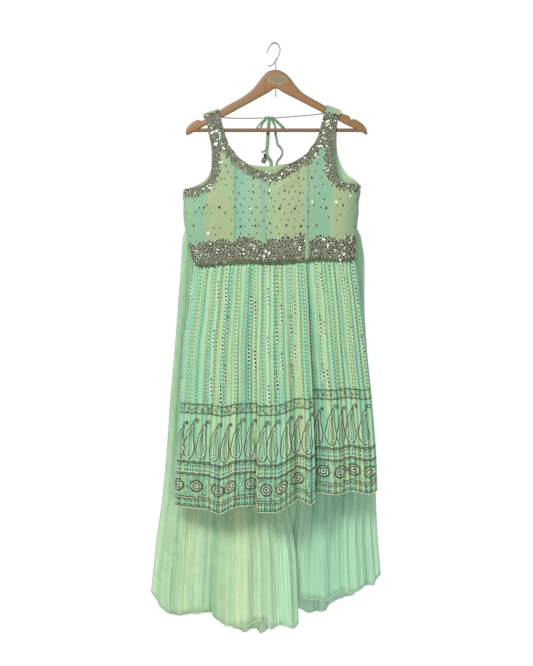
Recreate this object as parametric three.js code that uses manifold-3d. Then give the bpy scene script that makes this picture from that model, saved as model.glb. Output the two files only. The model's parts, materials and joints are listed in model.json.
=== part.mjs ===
// A palazzo suit on a wooden hanger: a sleeveless, gathered kurta with wide palazzo trousers behind it.
// Millimetres, +Z up, -Y to the front. The origin is the inside top of the hook, where the suit hangs.

import * as THREE from "three";
import Module from "manifold-3d";
import { mergeVertices } from "three/addons/utils/BufferGeometryUtils.js";

const wasm = await Module();
wasm.setup();

// Cloth and seams
const clothThickness = 2;
const seamGap = 0.3;
const beadworkThickness = 1.4;

// Kurta
const armholeBand = 17;
const neckBand = 20;
const waistBandRise = 50;
const frontGathers = 40;
const backGathers = 26;
const gatherDepth = 3;
const seamShare = 0.69;          // where the crease seam stands, across the front skirt

// Palazzo
const waistbandTop = -406;
const waistbandHeight = 29;
const legPleats = 14;
const legPleatDepth = 6;
const liningInset = 6;           // the lining stands this far inside the leg's smooth outer face

// Hanger
const woodHalf = 6;
const barRadius = 4.5;
const barZ = -212.8;
const wireRadius = 1.5;

const group = new THREE.Group();

function material(color, roughness, metalness = 0) {
  return new THREE.MeshStandardMaterial({ color, roughness, metalness });
}
const georgette = material(0x9cc3a0, 0.8);
const georgetteSheer = material(0xaecfaf, 0.75);
const liningCloth = material(0xb7d8b5, 0.7);
const beadwork = material(0x7b8166, 0.4, 0.3);
const wood = material(0x9b7850, 0.5);
const steel = material(0xb9bdb8, 0.3, 1);

function add(name, geometry, finish) {
  const mesh = new THREE.Mesh(geometry, finish);
  mesh.name = name;
  group.add(mesh);
  return mesh;
}

const mix = (a, b, t) => a + (b - a) * t;
const clamp = (t) => Math.min(1, Math.max(0, t));
const ease = (t) => clamp(t) ** 2 * (3 - 2 * clamp(t));

// A quarter ellipse's rise from 0 to 1, for walls that turn round to a side seam.
const turn = (t) => Math.sqrt(1 - (1 - clamp(t)) ** 2);

// The value of one column between a table's rows: a cubic that doesn't overshoot them.
function read(table, key, column, at) {
  const ascending = table[1][key] > table[0][key];
  const rows = ascending ? table : [...table].reverse();
  const last = rows.length - 1;
  if (at <= rows[0][key]) return rows[0][column];
  if (at >= rows[last][key]) return rows[last][column];
  let i = 0;
  while (rows[i + 1][key] < at) i += 1;
  const rise = (k) => (rows[k + 1][column] - rows[k][column]) / (rows[k + 1][key] - rows[k][key]);
  const tangent = (k) => {
    if (k === 0 || k === last) return rise(Math.min(k, last - 1));
    const [before, after] = [rise(k - 1), rise(k)];
    return before * after <= 0 ? 0 : (2 * before * after) / (before + after);
  };
  const step = rows[i + 1][key] - rows[i][key];
  const t = (at - rows[i][key]) / step;
  return (1 + 2 * t) * (1 - t) ** 2 * rows[i][column] + t * (1 - t) ** 2 * step * tangent(i)
    + t * t * (3 - 2 * t) * rows[i + 1][column] - t * t * (1 - t) * step * tangent(i + 1);
}

// One closed wall from two grids of points, outer and inner, with the four rims between them.
function wallGeometry(outer, inner, flip) {
  const columns = outer.length;
  const rows = outer[0].length;
  const positions = [];
  for (const grid of [outer, inner]) {
    for (const column of grid) for (const p of column) positions.push(p.x, p.y, p.z);
  }
  const id = (side, i, j) => (side * columns + i) * rows + j;
  const index = [];
  const quad = (a, b, c, d) => {
    if (flip) index.push(a, c, b, a, d, c);
    else index.push(a, b, c, a, c, d);
  };
  for (let i = 0; i < columns - 1; i += 1) {
    for (let j = 0; j < rows - 1; j += 1) {
      quad(id(0, i, j), id(0, i + 1, j), id(0, i + 1, j + 1), id(0, i, j + 1));
      quad(id(1, i, j), id(1, i, j + 1), id(1, i + 1, j + 1), id(1, i + 1, j));
    }
    quad(id(0, i, 0), id(1, i, 0), id(1, i + 1, 0), id(0, i + 1, 0));
    quad(id(0, i, rows - 1), id(0, i + 1, rows - 1), id(1, i + 1, rows - 1), id(1, i, rows - 1));
  }
  for (let j = 0; j < rows - 1; j += 1) {
    quad(id(0, 0, j), id(0, 0, j + 1), id(1, 0, j + 1), id(1, 0, j));
    quad(id(0, columns - 1, j), id(1, columns - 1, j), id(1, columns - 1, j + 1), id(0, columns - 1, j + 1));
  }
  const geometry = new THREE.BufferGeometry();
  geometry.setAttribute("position", new THREE.Float32BufferAttribute(positions, 3));
  geometry.setIndex(index);
  geometry.computeVertexNormals();
  return geometry;
}

// A panel of cloth. place(u, v) is its smooth outer surface and lift(u, v) its folds, outward from it.
// facing is -1 for a panel that faces the front and 1 for one that faces the back.
function panel(name, finish, { columns, rows, place, lift = () => 0, facing, thickness = clothThickness }) {
  const step = 1e-6;
  const point = (u, v) => new THREE.Vector3(...place(u, v));
  const normalAt = (u, v) => {
    const du = point(Math.min(1, u + step), v).sub(point(Math.max(0, u - step), v));
    const dv = point(u, Math.min(1, v + step)).sub(point(u, Math.max(0, v - step)));
    return du.cross(dv).normalize();
  };
  const flip = normalAt(0.5, 0.5).y * facing < 0;
  const normals = columns.map((u) => rows.map((v) => normalAt(u, v).multiplyScalar(flip ? -1 : 1)));
  const smooth = columns.map((u) => rows.map((v) => point(u, v)));
  const outer = smooth.map((column, i) => column.map((p, j) => p.clone()
    .addScaledVector(normals[i][j], lift(columns[i], rows[j]))));
  const inner = outer.map((column, i) => column.map((p, j) => p.clone()
    .addScaledVector(normals[i][j], -thickness)));
  add(name, wallGeometry(outer, inner, flip), finish);
  return { smooth, outer, normals, flip };
}

// Beadwork on a panel: a thin skin made from the panel's own points, moved out level.
function skin(name, under, [fromColumn, toColumn], [fromRow, toRow]) {
  const raised = (height) => under.outer.slice(fromColumn, toColumn + 1).map((column, i) => column
    .slice(fromRow, toRow + 1)
    .map((p, j) => {
      const out = under.normals[fromColumn + i][fromRow + j].clone().setZ(0).normalize();
      return p.clone().addScaledVector(out, height);
    }));
  add(name, wallGeometry(raised(seamGap + beadworkThickness), raised(seamGap), under.flip), beadwork);
}

const spread = (count) => Array.from({ length: count + 1 }, (_, i) => i / count);

// Hanger
// Wooden shoulders, by sections across the arm: the top and bottom of the wood at each x.
const armSections = [
  { x: -217.3, top: -217.5, bottom: -222.5 },
  { x: -216.3, top: -211.5, bottom: -225.4 },
  { x: -213, top: -205.8, bottom: -224.4 },
  { x: -205, top: -197.2, bottom: -220.8 },
  { x: -198, top: -192.4, bottom: -216.2 },
  { x: -190.6, top: -188.7, bottom: -212 },
  { x: -187.4, top: -187.6, bottom: -210.5 },
  { x: -182.6, top: -189.7, bottom: -208.3 },
  { x: -178.6, top: -190, bottom: -206.2 },
  { x: -172, top: -187, bottom: -202.4 },
  { x: -160, top: -180.5, bottom: -196.5 },
  { x: -137.9, top: -167.5, bottom: -186 },
  { x: -125, top: -158.5, bottom: -179.9 },
  { x: -72.3, top: -128, bottom: -151.5 },
  { x: -52.7, top: -111.6, bottom: -141 },
  { x: -39.4, top: -95.2, bottom: -133.5 },
  { x: -26.5, top: -78.8, bottom: -126.5 },
  { x: -13.5, top: -68.2, bottom: -119.4 },
  { x: 3, top: -65, bottom: -110.2 },
  { x: 20.8, top: -70.2, bottom: -119.5 },
  { x: 38, top: -84.9, bottom: -128.4 },
  { x: 50.7, top: -101.8, bottom: -134.8 },
  { x: 67.1, top: -119.9, bottom: -143.2 },
  { x: 112, top: -146.5, bottom: -166 },
  { x: 127.9, top: -155.5, bottom: -174 },
  { x: 145, top: -162.5, bottom: -182.7 },
  { x: 162.4, top: -170.3, bottom: -191.7 },
  { x: 172.1, top: -174.4, bottom: -197.3 },
  { x: 182.1, top: -178.4, bottom: -202 },
  { x: 184.8, top: -181.5, bottom: -203.2 },
  { x: 186.2, top: -185.6, bottom: -203.8 },
  { x: 188.4, top: -186.8, bottom: -204.8 },
  { x: 193.6, top: -185.8, bottom: -207.2 },
  { x: 198.6, top: -187.2, bottom: -209.4 },
  { x: 205.6, top: -190.7, bottom: -212.8 },
  { x: 213.1, top: -195.8, bottom: -216.9 },
  { x: 219.1, top: -201.2, bottom: -220.3 },
  { x: 223.6, top: -207.7, bottom: -223 },
  { x: 226.6, top: -214.7, bottom: -224 },
  { x: 227.8, top: -218.5, bottom: -221.8 },
];

// The section's ring, an octagon with its corners cut by the bevel.
function armRing({ x, top, bottom }) {
  const bevel = Math.min(3, (top - bottom) / 4);
  const side = woodHalf;
  return [
    [x, -side, bottom + bevel], [x, -side, top - bevel], [x, bevel - side, top], [x, side - bevel, top],
    [x, side, top - bevel], [x, side, bottom + bevel], [x, side - bevel, bottom], [x, bevel - side, bottom],
  ];
}

// A closed body through rings of equal length, capped at both ends.
function ringsGeometry(rings) {
  const count = rings[0].length;
  const index = [];
  for (let i = 0; i < rings.length - 1; i += 1) {
    for (let j = 0; j < count; j += 1) {
      const [a, b] = [i * count + j, i * count + (j + 1) % count];
      index.push(a, b + count, b, a, a + count, b + count);
    }
  }
  const end = (rings.length - 1) * count;
  for (let j = 1; j < count - 1; j += 1) {
    index.push(0, j, j + 1, end, end + j + 1, end + j);
  }
  const geometry = new THREE.BufferGeometry();
  geometry.setAttribute("position", new THREE.Float32BufferAttribute(rings.flat(2), 3));
  geometry.setIndex(index);
  return geometry;
}

function toSolid(geometry) {
  const bare = geometry.clone();
  bare.deleteAttribute("normal");
  bare.deleteAttribute("uv");
  const merged = mergeVertices(bare, 1e-4);
  const vertProperties = merged.attributes.position.array;
  const triVerts = new Uint32Array(merged.index.array);
  return new wasm.Manifold(new wasm.Mesh({ numProp: 3, vertProperties, triVerts }));
}

function fromSolid(solid) {
  const { vertProperties, triVerts } = solid.getMesh();
  const geometry = new THREE.BufferGeometry();
  geometry.setAttribute("position", new THREE.BufferAttribute(new Float32Array(vertProperties), 3));
  geometry.setIndex(new THREE.BufferAttribute(new Uint32Array(triVerts), 1));
  geometry.computeVertexNormals();
  return geometry;
}

// A round tube along a smooth curve.
function tube(points, radius, steps, sides = 8) {
  const curve = new THREE.CatmullRomCurve3(points.map((p) => new THREE.Vector3(...p)), false, "centripetal");
  const section = new THREE.Shape();
  for (let i = 0; i < sides; i += 1) {
    const angle = (i / sides) * 2 * Math.PI;
    const corner = [radius * Math.cos(angle), radius * Math.sin(angle)];
    if (i === 0) section.moveTo(...corner);
    else section.lineTo(...corner);
  }
  section.closePath();
  const geometry = new THREE.ExtrudeGeometry(section, { steps, extrudePath: curve, bevelEnabled: false });
  geometry.deleteAttribute("normal");
  geometry.deleteAttribute("uv");
  return mergeVertices(geometry, 1e-4);
}

// The shank runs down through a hole in the wood, and the bar's ends sit in sockets in the arms.
const shankX = 3;
const shankTop = -46.8;
const shankBottom = -131;
const barLeft = -203;
const barRight = 211;
const shankLength = shankTop - shankBottom;
const barLength = barRight - barLeft;
const shankGeometry = (radius, spare) => new THREE.CylinderGeometry(radius, radius, shankLength + spare, 8)
  .rotateX(Math.PI / 2).translate(shankX, 0, (shankTop + shankBottom) / 2);
const barGeometry = (radius, spare) => new THREE.CylinderGeometry(radius, radius, barLength + spare, 16)
  .rotateZ(Math.PI / 2).translate((barLeft + barRight) / 2, 0, barZ);
const shoulders = toSolid(ringsGeometry(armSections.map(armRing)))
  .subtract(toSolid(shankGeometry(wireRadius + 0.4, 0)))
  .subtract(toSolid(barGeometry(barRadius + 0.35, 2 * seamGap)));
add("hanger_shoulders", fromSolid(shoulders), wood);
add("hanger_bar", barGeometry(barRadius, 0), wood);
add("hanger_shank", shankGeometry(wireRadius, 0), steel);

const hookPoints = [
  [-18.4, -23.2], [-14.5, -12.9], [-8.6, -3.1], [0, wireRadius], [8.6, -2.6], [13.2, -11.9], [12.5, -22.4],
  [8.3, -33], [3.2, -41.8], [-3.7, -51.1], [-11, -55.5], [-16.4, -54.5],
];
add("hanger_hook", tube(hookPoints.map(([x, z]) => [x, 0, z]), wireRadius, 28), steel);

// Kurta bodice
// Depth of the bodice at each height: its front and back surfaces, and the side seam between them.
const bodiceDepth = [
  { z: -548, front: -19, back: 14, side: 1 },
  { z: -494, front: -23, back: 15, side: 1 },
  { z: -445, front: -28, back: 16.5, side: 0 },
  { z: -400, front: -30, back: 17, side: 0 },
  { z: -360, front: -27, back: 16.5, side: 1 },
  { z: -320, front: -20, back: 15, side: 1 },
  { z: -270, front: -13.5, back: 13, side: 1 },
  { z: -230, front: -10.5, back: 10.8, side: 0 },
  { z: -180, front: -9.4, back: 9.4, side: 0 },
];

// The waist seam, from side to side.
const waistSeam = [
  { x: -197.5, z: -543 }, { x: -166.6, z: -543.5 }, { x: -135.7, z: -540 }, { x: -95.6, z: -536.6 },
  { x: -58.3, z: -536 }, { x: -6.6, z: -537.6 }, { x: 23.3, z: -536.4 }, { x: 57.8, z: -533 },
  { x: 83.8, z: -529.8 }, { x: 117.8, z: -528.9 }, { x: 161, z: -529.9 }, { x: 198, z: -529.9 },
];

// Each row of a side panel runs from its outer edge (side seam, armhole, strap) to its inner edge
// (princess seam or centre back, neck edge, strap). open is how far the outer edge stands out from the side
// seam's depth to the panel's own: 0 on the side seam, 1 from the armhole up.
const frontLeftRows = [
  { outX: -197.5, outZ: -543, inX: -95.6, inZ: -536.6, open: 0 },
  { outX: -210.7, outZ: -494, inX: -95.6, inZ: -487, open: 0 },
  { outX: -221.7, outZ: -445, inX: -95.6, inZ: -437.7, open: 0 },
  { outX: -224.2, outZ: -400.9, inX: -95.6, inZ: -393.6, open: 0 },
  { outX: -221.2, outZ: -360, inX: -95.6, inZ: -354.4, open: 0 },
  { outX: -204.6, outZ: -358.8, inX: -95.6, inZ: -338.5, open: 0.45 },
  { outX: -187.2, outZ: -355.9, inX: -95.6, inZ: -322.5, open: 0.75 },
  { outX: -170, outZ: -346.3, inX: -95.6, inZ: -306.6, open: 0.95 },
  { outX: -157.3, outZ: -331.1, inX: -95.6, inZ: -290.7, open: 1 },
  { outX: -153.1, outZ: -300.5, inX: -95.6, inZ: -273.5, open: 1 },
  { outX: -152.9, outZ: -261.3, inX: -109, inZ: -253.9, open: 1 },
  { outX: -159.7, outZ: -224.3, inX: -121.3, inZ: -222.1, open: 1 },
  { outX: -166.5, outZ: -190.2, inX: -131.1, inZ: -186, open: 1 },
];
const frontRightRows = [
  { outX: 198, outZ: -529.9, inX: 83.8, inZ: -529.8, open: 0 },
  { outX: 202.1, outZ: -480, inX: 83.8, inZ: -480, open: 0 },
  { outX: 204.6, outZ: -437.7, inX: 83.8, inZ: -435.2, open: 0 },
  { outX: 207.5, outZ: -391.1, inX: 83.8, inZ: -388.7, open: 0 },
  { outX: 210.7, outZ: -351.9, inX: 83.8, inZ: -349.5, open: 0 },
  { outX: 193.6, outZ: -346.8, inX: 83.8, inZ: -332.3, open: 0.45 },
  { outX: 178.1, outZ: -346.3, inX: 83.8, inZ: -316.4, open: 0.75 },
  { outX: 161, outZ: -339.4, inX: 83.8, inZ: -300.5, open: 0.95 },
  { outX: 147.2, outZ: -323.3, inX: 83.8, inZ: -284.6, open: 1 },
  { outX: 141.4, outZ: -290.7, inX: 83.8, inZ: -266.2, open: 1 },
  { outX: 141.6, outZ: -258.8, inX: 99.7, inZ: -242.9, open: 1 },
  { outX: 148, outZ: -222.1, inX: 109.8, inZ: -217.2, open: 1 },
  { outX: 156.1, outZ: -181, inX: 120.3, inZ: -176, open: 1 },
];
const backLeftRows = [
  { outX: -197.5, outZ: -543, inX: -1, inZ: -538.1, open: 0 },
  { outX: -210.7, outZ: -494, inX: -1, inZ: -490.4, open: 0 },
  { outX: -221.7, outZ: -445, inX: -1, inZ: -442.6, open: 0 },
  { outX: -224.2, outZ: -400.9, inX: -1, inZ: -403.4, open: 0 },
  { outX: -221.2, outZ: -360, inX: -1, inZ: -364.2, open: 0 },
  { outX: -198.2, outZ: -350, inX: -1, inZ: -339.7, open: 0.5 },
  { outX: -173.5, outZ: -336, inX: -1, inZ: -317.6, open: 0.9 },
  { outX: -159.7, outZ: -317.2, inX: -1, inZ: -299.8, open: 1 },
  { outX: -154.6, outZ: -300, inX: -41.2, inZ: -298.3, open: 1 },
  { outX: -154.4, outZ: -280.9, inX: -77.2, inZ: -291.4, open: 1 },
  { outX: -154.8, outZ: -261.3, inX: -110.3, inZ: -272.3, open: 1 },
  { outX: -157.5, outZ: -244.1, inX: -129.1, inZ: -249, open: 1 },
  { outX: -161.5, outZ: -222.1, inX: -136.5, inZ: -222.1, open: 1 },
  { outX: -167, outZ: -190.2, inX: -135.5, inZ: -188, open: 1 },
];
const backRightRows = [
  { outX: 198, outZ: -529.9, inX: -0.6, inZ: -538.1, open: 0 },
  { outX: 202.1, outZ: -481.8, inX: -0.6, inZ: -490.4, open: 0 },
  { outX: 204.6, outZ: -437.7, inX: -0.6, inZ: -442.6, open: 0 },
  { outX: 207.5, outZ: -391.1, inX: -0.6, inZ: -403.4, open: 0 },
  { outX: 210.7, outZ: -351.9, inX: -0.6, inZ: -364.2, open: 0 },
  { outX: 196, outZ: -332.1, inX: -0.6, inZ: -339.7, open: 0.5 },
  { outX: 183.3, outZ: -324, inX: -0.6, inZ: -317.6, open: 0.9 },
  { outX: 167.8, outZ: -303.4, inX: -0.6, inZ: -298.8, open: 1 },
  { outX: 161, outZ: -288.2, inX: 31.9, inZ: -293.1, open: 1 },
  { outX: 157.5, outZ: -277.7, inX: 67.4, inZ: -279.7, open: 1 },
  { outX: 153.9, outZ: -261.3, inX: 98, inZ: -262.5, open: 1 },
  { outX: 152.6, outZ: -244.1, inX: 115.4, inZ: -244.1, open: 1 },
  { outX: 152.9, outZ: -217.2, inX: 124.2, inZ: -217.2, open: 1 },
  { outX: 156.5, outZ: -181, inX: 125, inZ: -179, open: 1 },
];

// Where each strap lies over the arm: its outer and inner edge, and the height of its top there.
const strapTops = {
  left: { outX: -173.5, outZ: -172.5, inX: -135.5, inZ: -160 },
  right: { outX: 162.5, outZ: -164, inX: 128, inZ: -151 },
};
const strapHalf = 9.4;           // the strap's outer face, from the middle of the wood
const capHeight = 9;
const capAngles = [0, 25, 50, 70, 90];

// A side panel's surface. Rows below the cap come from its table, and the cap bends over the arm.
function sidePanel(name, rowsTable, top, side) {
  const tableRows = rowsTable.length;
  const outerShare = 1 / 6;
  const innerShare = 5 / 6;
  const depthOf = side < 0 ? "front" : "back";
  const spanAt = (row) => {
    const whole = clamp(row / (tableRows - 1)) * (tableRows - 1);
    const k = Math.min(tableRows - 2, Math.floor(whole));
    const t = whole - k;
    const between = (column) => mix(rowsTable[k][column], rowsTable[k + 1][column], t);
    return ["outX", "outZ", "inX", "inZ", "open"].map(between);
  };
  const place = (u, v) => {
    const row = v * (tableRows - 1 + capAngles.length);
    const [outX, outZ, inX, inZ, open] = spanAt(row);
    const width = Math.hypot(outX - inX, outZ - inZ);
    const [outer, inner] = [Math.min(0.4, armholeBand / width), 1 - Math.min(0.4, neckBand / width)];
    let across = mix(outer, inner, (u - outerShare) / (innerShare - outerShare));
    if (u < outerShare) across = outer * (u / outerShare);
    if (u > innerShare) across = mix(inner, 1, (u - innerShare) / (1 - innerShare));
    const x = mix(outX, inX, across);
    const straightZ = mix(outZ, inZ, across);
    const footZ = mix(rowsTable[0].outZ, rowsTable[0].inZ, across);
    const z = straightZ + (read(waistSeam, "x", "z", x) - footZ) * (1 - clamp(row));
    const depth = read(bodiceDepth, "z", depthOf, z);
    const seam = read(bodiceDepth, "z", "side", z) + side * seamGap / 2;
    const edge = mix(seam, depth, open);
    const y = edge + (depth - edge) * mix(turn(across / 0.4), 1 - (1 - clamp(across / 0.4)) ** 2, open);
    if (row <= tableRows - 1) return [x, y, z];
    const capRow = Math.min(capAngles.length - 1, row - tableRows);
    const k = Math.max(0, Math.floor(capRow));
    const nextAngle = capAngles[Math.min(k + 1, capAngles.length - 1)];
    const radians = THREE.MathUtils.degToRad(capRow < 0 ? 0 : mix(capAngles[k], nextAngle, capRow - k));
    const topX = mix(top.outX, top.inX, across);
    const topZ = mix(top.outZ, top.inZ, across);
    const rise = row < tableRows ? row - (tableRows - 1) : 1;
    const capY = side * (seamGap / 2 + (strapHalf - seamGap / 2) * Math.cos(radians) ** 0.6);
    const capZ = topZ - capHeight + capHeight * Math.sin(radians) ** 0.8;
    const bendX = row < tableRows ? mix(x, topX, rise) : topX;
    return [bendX, row < tableRows ? mix(y, capY, rise) : capY, row < tableRows ? mix(z, capZ, rise) : capZ];
  };
  const frontColumns = [0, outerShare, 1 / 3, 0.5, 2 / 3, innerShare, 1];
  const backColumns = [0, outerShare, 0.25, 1 / 3, 0.42, 0.5, 0.58, 2 / 3, 0.75, innerShare, 1];
  const columns = side < 0 ? frontColumns : backColumns;
  const rows = spread(tableRows - 1 + capAngles.length);
  return panel(name, georgette, { columns, rows, place, facing: side });
}

const frontLeft = sidePanel("bodice_front_left", frontLeftRows, strapTops.left, -1);
const frontRight = sidePanel("bodice_front_right", frontRightRows, strapTops.right, -1);
sidePanel("bodice_back_left", backLeftRows, strapTops.left, 1);
sidePanel("bodice_back_right", backRightRows, strapTops.right, 1);

// The centre front, from the waist to the shaped neck edge.
const centreLeft = -95.3;
const centreRight = 83.5;
const neckEdge = [
  { x: -95.3, z: -273.7 }, { x: -84, z: -284.6 }, { x: -66.9, z: -296.6 }, { x: -41.2, z: -312 },
  { x: -15.4, z: -318.9 }, { x: -3.2, z: -323.3 }, { x: 23.3, z: -305.1 }, { x: 49.2, z: -291.4 },
  { x: 75, z: -274.3 }, { x: 83.5, z: -266.4 },
];
const centreRows = [0, 0.16, 0.36, 0.56, 0.76, 0.84, 0.92, 1];
function centrePlace(u, v) {
  const x = mix(centreLeft, centreRight, u);
  const neckZ = read(neckEdge, "x", "z", x);
  const waistZ = read(waistSeam, "x", "z", x);
  const bandTop = waistZ + waistBandRise;
  const bandFoot = neckZ - neckBand;
  let z = mix(bandTop, bandFoot, (v - 0.16) / 0.68);
  if (v < 0.16) z = mix(waistZ, bandTop, v / 0.16);
  if (v > 0.84) z = mix(bandFoot, neckZ, (v - 0.84) / 0.16);
  return [x, read(bodiceDepth, "z", "front", z) - 2 * Math.sin(Math.PI * u) ** 2, z];
}
const centre = panel("bodice_front_centre", georgette, {
  columns: spread(14), rows: centreRows, place: centrePlace, facing: -1,
});

// Beaded bands, each over a run of its panel's columns and rows.
skin("waist_beadwork_left", frontLeft, [0, 6], [0, 1]);
skin("waist_beadwork_centre", centre, [0, 14], [0, 1]);
skin("waist_beadwork_right", frontRight, [0, 6], [0, 1]);
skin("neck_beadwork_centre", centre, [0, 14], [5, 7]);
skin("neck_beadwork_left", frontLeft, [5, 6], [9, 10]);
skin("neck_beadwork_right", frontRight, [5, 6], [9, 10]);
skin("armhole_beadwork_left", frontLeft, [0, 1], [7, 10]);
skin("armhole_beadwork_right", frontRight, [0, 1], [7, 10]);
skin("strap_beadwork_left", frontLeft, [0, 6], [10, 13]);
skin("strap_beadwork_right", frontRight, [0, 6], [10, 12]);

// Kurta skirt
const skirtEdges = [
  { z: -528, left: -196, right: 198.5, front: -19, back: 14, side: 1 },
  { z: -543, left: -197, right: 200, front: -20, back: 14, side: 1 },
  { z: -584.7, left: -203.4, right: 205.8, front: -24, back: 15, side: 0 },
  { z: -638.6, left: -208.7, right: 213.1, front: -28, back: 16, side: -1 },
  { z: -746.4, left: -223, right: 225.3, front: -34, back: 18, side: -3 },
  { z: -871.3, left: -230.3, right: 238.1, front: -40, back: 20, side: -6 },
  { z: -1045.3, left: -241.3, right: 250.1, front: -46, back: 22, side: -9 },
  { z: -1146, left: -244.5, right: 251.4, front: -49, back: 23, side: -10 },
];
const frontHem = [
  { across: 0, z: -1130.3 }, { across: 0.17, z: -1137.4 }, { across: 0.225, z: -1146.5 },
  { across: 0.3, z: -1130.3 }, { across: 0.4, z: -1126.6 }, { across: 0.41, z: -1142.8 },
  { across: 0.49, z: -1142.8 }, { across: 0.58, z: -1120 }, { across: 0.614, z: -1112.9 },
  { across: 0.666, z: -1123.7 }, { across: 0.688, z: -1112.4 },
  { across: 0.697, z: -1096.3 }, { across: 0.797, z: -1101.6 }, { across: 0.862, z: -1092.6 },
  { across: 0.957, z: -1101.6 }, { across: 1, z: -1094.3 },
];

const backHem = { left: -1130.3, right: -1094.3 };

// Large folds across the front: where each rises and falls, how far forward it comes, how soft each side is,
// and how far down the skirt it begins.
const frontFolds = [
  { from: 0.03, to: 0.13, rise: 5, softFrom: 0.03, softTo: 0.03, begins: 0.2 },
  { from: 0.175, to: 0.3, rise: 9, softFrom: 0.012, softTo: 0.04, begins: 0.35 },
  { from: 0.31, to: 0.37, rise: 4, softFrom: 0.02, softTo: 0.015, begins: 0.1 },
  { from: 0.405, to: 0.575, rise: 11, softFrom: 0.01, softTo: 0.03, begins: 0.3 },
  { from: 0.617, to: 0.684, rise: 10, softFrom: 0.012, softTo: 0.008, begins: 0.15 },
  { from: 0.76, to: 0.83, rise: 5, softFrom: 0.03, softTo: 0.03, begins: 0.2 },
  { from: 0.9, to: 0.96, rise: 5, softFrom: 0.02, softTo: 0.03, begins: 0.3 },
];
const backFolds = [
  { from: 0.12, to: 0.25, rise: 4, softFrom: 0.04, softTo: 0.04, begins: 0.3 },
  { from: 0.42, to: 0.55, rise: 4, softFrom: 0.04, softTo: 0.04, begins: 0.2 },
  { from: 0.74, to: 0.86, rise: 4, softFrom: 0.04, softTo: 0.04, begins: 0.3 },
];

function foldLift(folds, across, down) {
  return folds.reduce((sum, fold) => {
    const up = ease((across - fold.from) / fold.softFrom + 0.5);
    const off = ease((across - fold.to) / fold.softTo + 0.5);
    return sum + fold.rise * up * (1 - off) * ease((down - fold.begins + 0.25) / 0.7);
  }, 0);
}

// Gathers: a ridge and a trough in turn at every other column, unevenly spaced, dying out at the seams.
function gatherColumns(gathers, from, to) {
  const count = Math.round(2 * gathers * (to - from));
  return Array.from({ length: count + 1 }, (_, i) => {
    const wander = i === 0 || i === count ? 0 : 0.22 * Math.sin(2.7 * i) + 0.12 * Math.sin(5.1 * i + 1);
    return (i + wander) / count;
  });
}

function gatherLift(column, across, down) {
  const uneven = 0.75 + 0.25 * Math.sin(1.9 * column);
  const edge = ease(across / 0.03) * ease((1 - across) / 0.03);
  return (column % 2 === 0 ? -0.5 : 0.5) * gatherDepth * uneven * edge * mix(0.75, 1.2, down);
}

// The skirt's surface. across runs from the left side seam to the right, down from the waist to the hem.
function skirtPlace(across, down, side) {
  const waistX = mix(-196.5, 198.5, across);
  const waistZ = read(waistSeam, "x", "z", waistX) - seamGap;
  const hemZ = read(frontHem, "across", "z", across);
  const z = mix(waistZ, side < 0 ? hemZ : mix(backHem.left, backHem.right, across), down);
  const [left, right] = [read(skirtEdges, "z", "left", z), read(skirtEdges, "z", "right", z)];
  const seam = read(skirtEdges, "z", "side", z) + side * seamGap / 2;
  const depth = read(skirtEdges, "z", side < 0 ? "front" : "back", z);
  const round = Math.sqrt(1 - (2 * across - 1) ** 2) ** 0.8;
  return [mix(left, right, across), seam + (depth - seam) * round, z];
}

function skirtPanel(name, { from, to, side, gathers, folds }) {
  const acrossOf = (u) => mix(from, to, u);
  const columns = gatherColumns(gathers, from, to);
  panel(name, georgette, {
    columns, rows: [0, 0.08, 0.22, 0.4, 0.6, 0.8, 0.92, 1], facing: side,
    place: (u, v) => skirtPlace(acrossOf(u), v, side),
    lift: (u, v) => gatherLift(columns.indexOf(u), acrossOf(u), v) + foldLift(folds, acrossOf(u), v),
  });
}

const seamShift = 0.0004;        // half the seam's gap, as a share of the skirt's width
skirtPanel("skirt_front_left", {
  from: 0, to: seamShare - seamShift, side: -1, gathers: frontGathers, folds: frontFolds,
});
skirtPanel("skirt_front_right", {
  from: seamShare + seamShift, to: 1, side: -1, gathers: frontGathers, folds: frontFolds,
});
skirtPanel("skirt_back", { from: 0, to: 1, side: 1, gathers: backGathers, folds: backFolds });

// The bead cord, along the front of the waist seam.
const beadCordRadius = 2.6;
const beadCordPoints = spread(16).map((t) => {
  const [x, y, z] = skirtPlace(mix(0.04, 0.96, t), 0, -1);
  return [x, y - beadCordRadius - 1.7, z - 3.2];
});
add("waist_bead_cord", tube(beadCordPoints, beadCordRadius, 44, 6), beadwork);

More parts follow.
